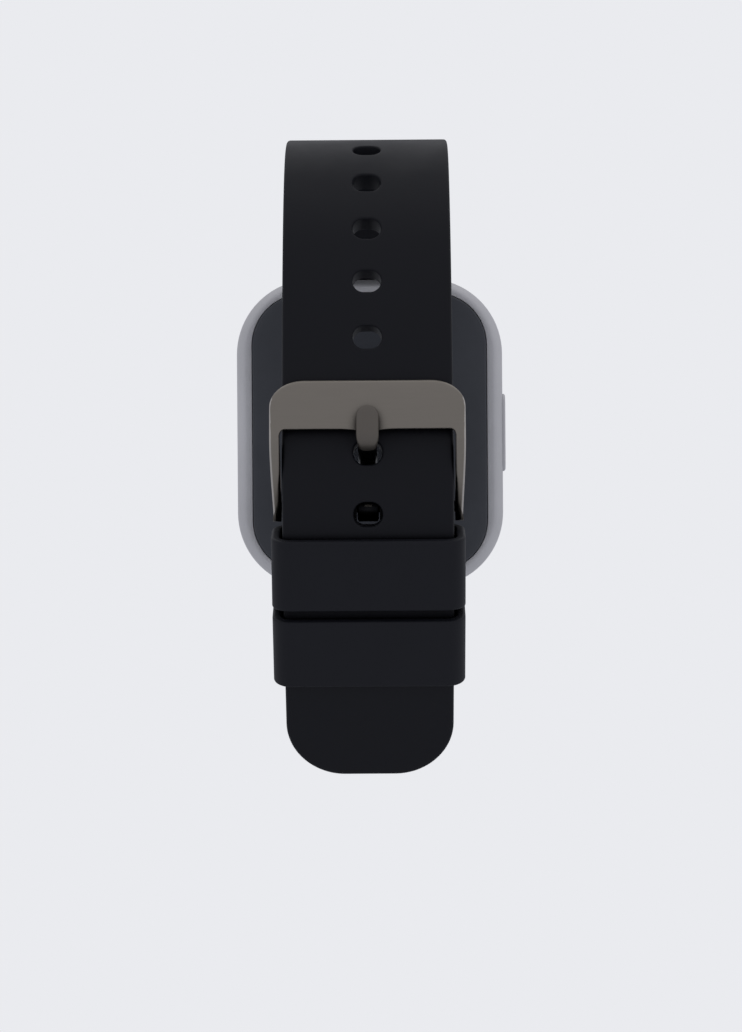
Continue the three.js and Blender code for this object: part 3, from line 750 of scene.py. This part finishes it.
def buckle_frame():
    """The wide plate and the two arms, swept round as one closed band."""
    front, back = frame_faces()
    rings = []
    for outer, inner, chamfer in frame_pairs():
        o, i = Vector(outer), Vector(inner)
        width, along = (i - o).length, (i - o).normalized()
        depth = min(front(q.y) - back(q.y) for q in (o, i))
        ring = []
        for d, side, under in frame_section(width, max(depth, 0.05), chamfer):
            q = o + along * d
            ring.append((q.x, front(q.y) - under if side > 0 else back(q.y) + under, q.y))
        rings.append(ring)
    obj = skin("buckle_frame_metal", rings)
    # the second look on the sides' front edge is a painted highlight, with a smoother polish
    return smooth(second_look(obj, on_frame_edge), 60)


def on_frame_edge(place, normal):
    """Whether a face is on the front edge of the frame's sides, below the rounded corners, which gets a
    smoother polish and a lighter colour that is a painted highlight.
    """
    slanted = 0.25 < abs(normal.x) < 0.98 and normal.y > 0.1
    outermost = abs(place.x) > FRAME_HALF_W - arm_lean(place.z) - 0.3
    return slanted and outermost and place.z < PLATE_TOP_Z - 1.2


def on_shank(place, normal):
    """Whether a face is on the tongue's shank below the hole, which wears painted shade, and not on the
    small spot of its eye left bright as a painted highlight.
    """
    p = at(HOLED, PLATE_S)
    out = (place.y - p[1]) * p[5] + (place.z - p[2]) * p[6]
    glint_spot = abs(place.x) < GLINT_HALF_W and abs(place.z - BAR_Z - 0.1) < 0.2 and place.y > BAR_Y + 1.5
    return out < STRAP_T / 2 + 1.1 + 0.5 * (place.x / SHANK_HALF_W) ** 2 and not glint_spot


def catmull(points, count):
    """Evenly stepped points on a smooth curve through the given ones."""
    pts = [Vector(p) for p in points]
    ends = [2 * pts[0] - pts[1]] + pts + [2 * pts[-1] - pts[-2]]
    out = []
    for k in range(1, len(ends) - 2):
        p0, p1, p2, p3 = ends[k - 1:k + 3]
        for j in range(count):
            t = j / count
            out.append(0.5 * (2 * p1 + (p2 - p0) * t + (2 * p0 - 5 * p1 + 4 * p2 - p3) * t * t
                              + (3 * p1 - p0 - 3 * p2 + p3) * t ** 3))
    return out + [pts[-1]]


def tongue():
    """A flat tongue with a round tip, from the eye on the bar through the hole and over the plate."""
    rest = PLATE_LIFT + PLATE_T + 0.45 + TONGUE_T / 2
    stations = [(BAR_Y, BAR_Z + 0.6), (BAR_Y, BAR_Z + 3.0), (BAR_Y + 0.7, BAR_Z + 4.9),
                over_plate(-5.4, -0.4), over_plate(-5.25, 1.0), over_plate(-5.1, 2.2),
                over_plate(-4.85, 3.2), over_plate(-4.25, 3.85), over_plate(-3.3, rest),
                over_plate(-1.8, rest), over_plate(-0.6, rest)]
    spine = catmull(stations, 16)
    lengths = [0.0]
    for a, b in zip(spine, spine[1:]):
        lengths.append(lengths[-1] + (b - a).length)
    rings = []
    for k, p in enumerate(spine):
        t = (spine[min(k + 1, len(spine) - 1)] - spine[max(k - 1, 0)]).normalized()
        left = lengths[-1] - lengths[k]
        bend = math.exp(-((left - TONGUE_BEND) / 0.9) ** 2)
        half_w = SHANK_HALF_W + (TONGUE_HALF_W - SHANK_HALF_W) * smoothstep(-left, -5.1, -3.5)
        if left < TONGUE_NOSE:
            half_w *= max(0.1, math.sqrt(1 - (1 - left / TONGUE_NOSE) ** 2))
        thick = TONGUE_T * (0.55 + 0.45 * min(1, left / 0.9) ** 0.5)
        r = min(0.28 + 0.2 * bend, half_w * 0.8, thick * 0.48)
        rings.append([(x, p.x + n * t.y, p.y - n * t.x)
                      for x, n in rounded(half_w, thick / 2, r, steps=5, straight=10)])
    obj = skin("tongue_metal", rings)
    # the eye gets rings at the edges of the painted highlight's spot
    side = [(-EYE_HALF_W, EYE_R - 0.25), (-EYE_HALF_W + 0.15, EYE_R), (-GLINT_HALF_W, EYE_R)]
    eye = bar_x("eye", side + [(-x, r) for x, r in reversed(side)], BAR_Y, BAR_Z)
    cut(obj, [eye], "UNION")
    bore = bar_x("cutter", [(-3, BAR_R + 0.08), (3, BAR_R + 0.08)], BAR_Y, BAR_Z, 32)
    # The shank below the hole wears a black copy of the metal as painted shade, all but a small painted
    # highlight on its eye
    return smooth(second_look(cut(obj, [bore]), on_shank), 40)


def buckle_bar():
    """The pin through the buckle strap, ending inside the frame's arms."""
    profile = [(-BAR_HALF_L, BAR_R - 0.2), (-BAR_HALF_L + 0.2, BAR_R)]
    profile += [(-x, r) for x, r in reversed(profile)]
    return smooth(bar_x("buckle_bar_pin", profile, BAR_Y, BAR_Z), 40)


# ---------- case ----------

def barrel(y):
    """How far the case wall stands in from its widest outline at a height of Y."""
    if y > WIDEST_Y:
        t, inset = (y - WIDEST_Y) / (BACK_RIM_Y - WIDEST_Y), BACK_INSET
    else:
        t, inset = (WIDEST_Y - y) / (WIDEST_Y - FRONT_RIM_Y), FRONT_INSET
    return inset * (1 - math.sqrt(max(0.0, 1 - t * t)))


def case_frame():
    """The metal case: barrel-sided outside, stepped inside, with strap slots and the button's hole."""
    turns = 16
    heights = []
    for k in range(turns + 1):
        heights.append(WIDEST_Y + math.cos(math.radians(90 * k / turns)) * (BACK_RIM_Y - WIDEST_Y))
    for k in range(1, turns + 1):
        heights.append(WIDEST_Y + math.sin(math.radians(90 * k / turns)) * (FRONT_RIM_Y - WIDEST_Y))
    rows = [(y, *(size - barrel(y) for size in (*CASE_HALF, CASE_CORNER))) for y in heights]
    rows += [(FRONT_RIM_Y, *GLASS_OPENING), (GLASS_LEDGE_Y, *GLASS_OPENING), (GLASS_LEDGE_Y, *GLASS_LEDGE),
             (CAVITY_FRONT_Y, *GLASS_LEDGE), (CAVITY_FRONT_Y, *CAVITY), (COVER_LEDGE_Y, *CAVITY),
             (COVER_LEDGE_Y, *COVER_OPENING), (BACK_RIM_Y, *COVER_OPENING)]
    obj = skin("case_shell", plate_rings(rows, steps=20, straight=14), closed=True)
    cutters = []
    for side in (1, -1):
        slot_z = sorted(side * z for z in STRAP_SLOT_Z)
        notch_z = sorted(side * z for z in LEVER_NOTCH_Z)
        cutters.append(block(-STRAP_SLOT_HALF_W, STRAP_SLOT_HALF_W, *STRAP_SLOT_Y, *slot_z))
        cutters.append(block(LEVER_X - 2.1, LEVER_X + 1.1, *LEVER_NOTCH_Y, *notch_z))
    cutters.append(stadium("cutter", [(-19, 1.5, 5.35), (-16.9, 1.5, 5.35)]))
    cut(obj, cutters)
    return smooth(round_edges(obj, 0.14, 48), 40)


def stadium(name, levels):
    """A long rounded block on the side wall: levels are (x, half thickness, half length)."""
    rings = [[(x, LUG_Y + t, z) for t, z in rounded(ht, hl, ht - 0.01, steps=14, straight=6)]
             for x, ht, hl in levels]
    return skin(name, rings)


def side_button():
    """The long button in the side wall, rounded over at its top."""
    rim = -CASE_HALF[0] - BUTTON_PROUD + BUTTON_EDGE_R
    levels = [(-17.45, BUTTON_HALF_T, BUTTON_HALF_L), (rim, BUTTON_HALF_T, BUTTON_HALF_L)]
    for k in range(1, 7):
        a = math.radians(90 * k / 6)
        i = BUTTON_EDGE_R * (1 - math.cos(a))
        levels.append((rim - BUTTON_EDGE_R * math.sin(a), BUTTON_HALF_T - i, BUTTON_HALF_L - i))
    return smooth(stadium("side_button_cap", levels), 40)


def back_cover():
    """The plate let into the rim, with two charging contacts and the well for the sensor."""
    r, rim = COVER_EDGE_R, COVER_BACK_Y - COVER_EDGE_R
    levels = [(-2.0, *COVER), (rim, *COVER)]
    for k in range(1, 6):
        a = math.radians(90 * k / 5)
        levels.append((rim + r * math.sin(a), *(size - r * (1 - math.cos(a)) for size in COVER)))
    levels += [(-1.29, 14.6, 17.4, 6.2), (-1.28, 12.6, 13.6, 6.0)]
    plate = skin("back_cover_plate", plate_rings(levels, steps=18, straight=12))
    contacts = [lathe("cutter", [(0, -3), (1.0, -3), (1.0, -1.45), (1.16, -1.24), (1.16, 0), (0, 0)],
                      x, CONTACT_Z, 40) for x in (-CONTACT_X, CONTACT_X)]
    well = lathe("cutter", [(0, -3), (10.2, -3), (10.2, 0), (0, 0)])
    return smooth(cut(plate, contacts + [well]), 40)


def sensor_dome():
    """The raised ring round the sensor window, with a soft foot and a rounded crown."""
    profile = [(0, -1.9), (SENSOR_RING_R, -1.9), (SENSOR_RING_R, -1.36)]
    for k in range(9):
        f = k / 8
        profile.append((SENSOR_RING_R - 1.6 * f, -1.36 + SENSOR_RING_RISE * smoothstep(f, 0, 1)))
    profile += [(8.9, -0.24), (8.45, -0.25), (8.2, -0.32), (8.12, -0.5), (8.12, -1.2), (6.9, -1.2),
                (6.9, -1.75), (0, -1.75)]
    return smooth(lathe("sensor_ring", profile), 40)


def sensor_glass():
    """The clear disc in the sensor ring; its flat face is the origin of the frame."""
    r = SENSOR_EDGE_R
    profile = [(0, -1.1), (SENSOR_WINDOW_R - 0.05, -1.1), (SENSOR_WINDOW_R, -1.0), (SENSOR_WINDOW_R, -r)]
    for k in range(1, 7):
        a = math.radians(90 * k / 6)
        profile.append((SENSOR_WINDOW_R - r * (1 - math.cos(a)), -r + r * math.sin(a)))
    profile.append((0, 0.0))
    return smooth(lathe("sensor_glass", profile), 40)


def cover_glass():
    """The glass over the display, curving down to its edge."""
    levels = [(-9.4, *GLASS), (-10.0, *GLASS)]
    for k in range(1, 13):
        a = math.radians(90 * k / 12)
        inset = 1.7 * (1 - math.cos(a))
        levels.append((-10.0 - 1.2 * math.sin(a), *(size - inset for size in GLASS)))
    return smooth(skin("front_glass", plate_rings(levels, steps=20, straight=14)), 30)


# ---------- materials ----------

class Look:
    """A material with a Principled shader and short ways to feed it from procedural nodes."""

    def __init__(self, name, colour, rough, metal=0.0, **inputs):
        self.mat = bpy.data.materials.new(name)
        self.mat.use_nodes = True
        self.nodes = self.mat.node_tree.nodes
        self.links = self.mat.node_tree.links
        self.shader = self.nodes["Principled BSDF"]
        self.coords = self.nodes.new("ShaderNodeTexCoord").outputs["Object"]
        self.set("Base Color", (*colour, 1))
        self.set("Roughness", rough)
        self.set("Metallic", metal)
        for key, value in inputs.items():
            self.set(key.replace("_", " "), value)

    def set(self, name, value):
        self.shader.inputs[name].default_value = value

    def link(self, a, b):
        self.links.new(a, b)

    def noise(self, scale, detail, rough=0.55, stretch=(1, 1, 1)):
        """Noise on the object's own coordinates."""
        mapping = self.nodes.new("ShaderNodeMapping")
        mapping.inputs["Scale"].default_value = stretch
        self.link(self.coords, mapping.inputs["Vector"])
        n = self.nodes.new("ShaderNodeTexNoise")
        n.inputs["Scale"].default_value = scale
        n.inputs["Detail"].default_value = detail
        n.inputs["Roughness"].default_value = rough
        self.link(mapping.outputs[0], n.inputs["Vector"])
        return n.outputs["Fac"]

    def ramp(self, source, lo, hi, a, b):
        """Maps the source's range lo to hi onto a to b."""
        m = self.nodes.new("ShaderNodeMapRange")
        for key, value in (("From Min", lo), ("From Max", hi), ("To Min", a), ("To Max", b)):
            m.inputs[key].default_value = value
        self.link(source, m.inputs["Value"])
        return m.outputs[0]

    def tint(self, source, a, b):
        """Base colour between a and b by the source."""
        mix = self.nodes.new("ShaderNodeMix")
        mix.data_type = "RGBA"
        self.link(source, mix.inputs["Factor"])
        mix.inputs["A"].default_value = (*a, 1)
        mix.inputs["B"].default_value = (*b, 1)
        self.link(mix.outputs["Result"], self.shader.inputs["Base Color"])
        return self

    def rough(self, source):
        self.link(source, self.shader.inputs["Roughness"])
        return self

    def painted_gap_shade(self, reach):
        """Painted shade: fades base colour and specular level where another surface is within reach, in
        millimetres.
        """
        near = self.nodes.new("ShaderNodeAmbientOcclusion")
        near.inputs["Distance"].default_value = reach * MM
        near.samples = 8
        open_sky = self.ramp(near.outputs["AO"], 0.42, 0.8, 0, 1)
        mix = self.nodes.new("ShaderNodeMix")
        mix.data_type = "RGBA"
        self.link(open_sky, mix.inputs["Factor"])
        # the near-black colour of the painted shade in the gaps
        mix.inputs["A"].default_value = (0.002, 0.002, 0.003, 1)
        socket = self.shader.inputs["Base Color"]
        self.link(socket.links[0].from_socket, mix.inputs["B"])
        self.link(mix.outputs["Result"], socket)
        level = self.shader.inputs["Specular IOR Level"]
        self.link(self.ramp(open_sky, 0, 1, level.default_value * 0.2, level.default_value), level)
        return self

    def bump(self, source, height, strength):
        """Adds a bump of the given height in millimetres on top of any earlier one."""
        b = self.nodes.new("ShaderNodeBump")
        b.inputs["Distance"].default_value = height * MM
        b.inputs["Strength"].default_value = strength
        self.link(source, b.inputs["Height"])
        socket = self.shader.inputs["Normal"]
        if socket.is_linked:
            self.link(socket.links[0].from_socket, b.inputs["Normal"])
        self.link(b.outputs[0], socket)
        return self


def silicone(name, dark, light, grain=1.0):
    """Matte moulded silicone with a fine even grain, faint dusty patches and painted shade in its gaps."""
    m = Look(name, dark, 0.5, Specular_IOR_Level=0.25)
    patch = m.noise(160, 3)
    m.tint(m.ramp(patch, 0.35, 0.7, 0, 1), dark, light).painted_gap_shade(1.2)
    m.rough(m.ramp(patch, 0.3, 0.7, 0.5, 0.58))
    return m.bump(m.noise(5200, 2, 0.6), 0.012 * grain, 0.6).bump(m.noise(900, 2), 0.012, 0.35).mat


def brushed(name, low, high, stretch, rough=(0.28, 0.4)):
    """Metal with long fine brush marks along one axis, and painted shade in its gaps."""
    m = Look(name, low, rough[0], 1.0)
    marks = m.noise(2600, 4, 0.7, stretch)
    m.tint(m.ramp(marks, 0.3, 0.7, 0, 1), low, high).painted_gap_shade(1.8)
    m.rough(m.ramp(marks, 0.3, 0.7, *rough))
    return m.bump(marks, 0.004, 0.4).mat


def blasted(name, low, high, rough):
    """Bead-blasted, clear-anodised metal."""
    m = Look(name, low, rough[0], 1.0)
    grain = m.noise(5200, 2, 0.6)
    cloud = m.noise(90, 3)
    m.tint(m.ramp(cloud, 0.35, 0.7, 0, 1), low, high)
    m.rough(m.ramp(grain, 0.3, 0.7, *rough))
    return m.bump(grain, 0.006, 0.5).mat


def plastic(name, low, high, rough=(0.4, 0.5), spec=0.4):
    """Moulded plastic with a fine spark-eroded grain."""
    m = Look(name, low, rough[0], Specular_IOR_Level=spec)
    fine = m.noise(4200, 2, 0.6)
    m.tint(m.ramp(m.noise(120, 3), 0.35, 0.7, 0, 1), low, high)
    m.rough(m.ramp(fine, 0.3, 0.7, *rough))
    return m.bump(fine, 0.006, 0.5).mat


def dark_glass(name, colour):
    """Black-backed glass with the faintest smears in its polish."""
    m = Look(name, colour, 0.05, Specular_IOR_Level=0.5, Coat_Weight=0.5, Coat_Roughness=0.02)
    smear = m.noise(60, 4, 0.6)
    m.tint(m.ramp(smear, 0.3, 0.8, 0, 1), colour, tuple(1.5 * c for c in colour))
    return m.rough(m.ramp(smear, 0.35, 0.75, 0.04, 0.1)).mat


def tinted_window(name):
    """Smoky clear glass."""
    m = Look(name, (0.16, 0.17, 0.19), 0.04, Transmission_Weight=0.8, IOR=1.5)
    smear = m.noise(80, 4, 0.6)
    m.tint(m.ramp(smear, 0.3, 0.8, 0, 1), (0.13, 0.14, 0.16), (0.2, 0.21, 0.23))
    return m.rough(m.ramp(smear, 0.35, 0.75, 0.03, 0.09)).mat


def circuit(name):
    """Solder mask with a faint grid of tracks."""
    m = Look(name, (0.01, 0.07, 0.035), 0.35)
    tracks = m.nodes.new("ShaderNodeTexBrick")
    tracks.inputs["Scale"].default_value = 700
    m.link(m.coords, tracks.inputs["Vector"])
    m.tint(tracks.outputs["Fac"], (0.012, 0.08, 0.04), (0.03, 0.13, 0.06))
    m.rough(m.ramp(m.noise(3000, 2), 0.3, 0.7, 0.3, 0.45))
    return m.bump(tracks.outputs["Fac"], 0.02, 0.5).mat


ACROSS = (0.08, 1, 1)
UPWARD = (1, 1, 0.08)


def make_looks():
    """Every finish by its slot in the record, with a few more for the pieces made here."""
    return {
        "case_metal": blasted("satin_case_metal", (0.68, 0.675, 0.685), (0.73, 0.725, 0.735), (0.62, 0.7)),
        "cover": plastic("slate_cover", (0.054, 0.058, 0.068), (0.064, 0.069, 0.08), (0.32, 0.4)),
        "silicone": silicone("strap_silicone", (0.004, 0.0044, 0.0074), (0.0052, 0.0056, 0.009)),
        "keeper": silicone("keeper_silicone", (0.0082, 0.0088, 0.0128), (0.01, 0.0106, 0.015), 0.7),
        "gunmetal": brushed("satin_gunmetal", (0.275, 0.25, 0.216), (0.295, 0.268, 0.232), ACROSS,
                            (0.4, 0.5)),
        # a lighter, smoother copy of the gunmetal: a painted highlight on the frame's edge
        "polished": brushed("painted_highlight_frame_edge", (0.5, 0.47, 0.43), (0.56, 0.53, 0.49), UPWARD,
                            (0.25, 0.35)),
        "tongue": brushed("satin_tongue", (0.175, 0.158, 0.138), (0.19, 0.172, 0.15), UPWARD, (0.45, 0.55)),
        # a black copy of the tongue's metal: painted shade on the shank inside the strap
        "blackened": brushed("painted_shade_shank", (0.012, 0.012, 0.013), (0.018, 0.018, 0.019), UPWARD),
        "steel": brushed("turned_steel", (0.45, 0.45, 0.46), (0.56, 0.56, 0.57), (0.05, 1, 1)),
        "glass": dark_glass("black_front_glass", (0.006, 0.006, 0.007)),
        "clear": tinted_window("tinted_sensor_glass"),
        "board": circuit("green_board"),
        "black": plastic("black_moulding", (0.02, 0.02, 0.022), (0.03, 0.03, 0.033)),
        "gold": brushed("plated_contact", (0.68, 0.49, 0.19), (0.82, 0.62, 0.28), (1, 1, 1), (0.22, 0.34)),
        "foil": brushed("foil_metal", (0.44, 0.44, 0.46), (0.58, 0.58, 0.6), (1, 1, 0.1), (0.35, 0.5)),
        "green": plastic("green_light_resin", (0.05, 0.42, 0.16), (0.08, 0.55, 0.22), (0.2, 0.3), 0.5),
        "gasket": silicone("gasket_rubber", (0.01, 0.01, 0.011), (0.016, 0.016, 0.018)),
        "flex": plastic("amber_film", (0.35, 0.16, 0.03), (0.45, 0.22, 0.05), (0.3, 0.4)),
    }


def wear(obj, *mats):
    """Gives a mesh its materials and keeps which face wears which."""
    if obj.data.materials:
        obj.data.materials.clear()
    for mat in mats:
        obj.data.materials.append(mat)


# ---------- scene ----------

def camera():
    """The photograph's viewpoint: level, turned by the yaw and rolled a little."""
    data = bpy.data.cameras.new("camera")
    data.lens = CAMERA_LENS
    data.sensor_width = 36
    data.clip_start, data.clip_end = 0.01, 100
    cam = bpy.data.objects.new("camera", data)
    bpy.context.scene.collection.objects.link(cam)
    yaw, roll = math.radians(CAMERA_YAW), math.radians(CAMERA_ROLL)
    up = Vector((0, 0, 1))
    forward = Vector((math.sin(yaw), -math.cos(yaw), 0))
    right = forward.cross(up)
    turned = right * math.cos(roll) - up * math.sin(roll)
    above = right * math.sin(roll) + up * math.cos(roll)
    turn = Matrix((turned, above, -forward)).transposed().to_4x4()
    cam.matrix_world = Matrix.Translation(Vector(CAMERA_AT) * MM) @ turn
    bpy.context.scene.camera = cam


def rim_light(name, place, power):
    """A soft upright panel, aimed at the watch."""
    data = bpy.data.lights.new(name, "AREA")
    data.shape = "RECTANGLE"
    data.size, data.size_y = RIM_SIZE
    data.energy = power
    light = bpy.data.objects.new(name, data)
    bpy.context.scene.collection.objects.link(light)
    light.location = place
    light.rotation_euler = (Vector(RIM_AIM) - Vector(place)).to_track_quat("-Z", "Y").to_euler()


def seen_or_lit(nodes, links, seen, lit, target):
    """One shader for the camera's own rays, another for the light that reaches the watch."""
    mix, path = nodes.new("ShaderNodeMixShader"), nodes.new("ShaderNodeLightPath")
    links.new(path.outputs["Is Camera Ray"], mix.inputs[0])
    links.new(lit.outputs[0], mix.inputs[1])
    links.new(seen.outputs[0], mix.inputs[2])
    links.new(mix.outputs[0], target.inputs["Surface"])


def surroundings():
    """An even pale backdrop for the camera, and an even, slightly cool light on the watch."""
    world = bpy.data.worlds.new("studio")
    world.use_nodes = True
    bpy.context.scene.world = world
    nodes, links = world.node_tree.nodes, world.node_tree.links
    nodes.clear()
    seen, lit = nodes.new("ShaderNodeBackground"), nodes.new("ShaderNodeBackground")
    seen.inputs["Color"].default_value = (*BACKDROP, 1)
    lit.inputs["Color"].default_value = (*WORLD_COLOUR, 1)
    lit.inputs["Strength"].default_value = WORLD_LIGHT
    seen_or_lit(nodes, links, seen, lit, nodes.new("ShaderNodeOutputWorld"))


def pale_floor():
    """A plain floor well below the watch: it lights the watch, and shows as pale as the backdrop."""
    corners = [(sx * FLOOR_HALF, sy * FLOOR_HALF, FLOOR_Z)
               for sx, sy in ((-1, -1), (1, -1), (1, 1), (-1, 1))]
    floor = new_object("floor", corners, [(0, 1, 2, 3)])
    m = Look("pale_floor", (0.78, 0.785, 0.8), 0.9, Specular_IOR_Level=0.0)
    m.tint(m.noise(3, 2), (0.77, 0.78, 0.8), (0.78, 0.79, 0.81))
    shown = m.nodes.new("ShaderNodeEmission")
    shown.inputs["Color"].default_value = (*BACKDROP, 1)
    seen_or_lit(m.nodes, m.links, shown, m.shader, m.nodes["Material Output"])
    wear(floor, m.mat)


def studio():
    """Even surroundings, a soft light from above, and a weak panel on each side."""
    surroundings()
    pale_floor()
    sun = bpy.data.lights.new("overhead", "SUN")
    sun.energy = OVERHEAD
    sun.angle = math.radians(OVERHEAD_SPREAD)
    overhead = bpy.data.objects.new("overhead", sun)
    bpy.context.scene.collection.objects.link(overhead)
    overhead.rotation_euler = (math.radians(OVERHEAD_TILT), 0, 0)
    rim_light("right_rim", RIGHT_RIM_AT, RIGHT_RIM_POWER)
    rim_light("left_rim", LEFT_RIM_AT, LEFT_RIM_POWER)
    view = bpy.context.scene.view_settings
    view.view_transform = "Standard"
    view.look = "None"


camera()
studio()
LOOKS = make_looks()

for entry in frame["record"]["subparts"]:
    wear(frame["nodes"][entry["node"]], LOOKS[entry["material_slot"]])

# (function, its arguments, look or looks, body, CAD nodes that the piece stands for)
PIECES = [
    (case_frame, (), "case_metal", "watch", ["case_frame"]),
    (side_button, (), "case_metal", "button", ["side_button"]),
    (back_cover, (), "cover", "watch", ["back_cover"]),
    (sensor_dome, (), "cover", "watch", ["back_cover"]),
    (sensor_glass, (), "clear", "watch", ["sensor_window"]),
    (cover_glass, (), "glass", "watch", ["cover_glass"]),
    (holed_strap, (), "silicone", "watch", ["holed_strap"]),
    (buckle_strap, (), "silicone", "watch", ["buckle_strap"]),
    (keeper, ("upper_keeper_loop", UPPER_KEEPER), "keeper", "keeper_upper_body", ["keeper_upper"]),
    (keeper, ("lower_keeper_loop", LOWER_KEEPER), "keeper", "keeper_lower_body", ["keeper_lower"]),
    (buckle_frame, (), "gunmetal polished", "buckle", ["buckle_frame"]),
    (buckle_bar, (), "steel", "buckle", ["buckle_bar"]),
    (tongue, (), "tongue blackened", "tongue", ["buckle_tongue"]),
]
for make, given, look, body, nodes in PIECES:
    obj = make(*given)
    wear(obj, *(LOOKS[name] for name in look.split()))
    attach(obj, body)
    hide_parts(*nodes)
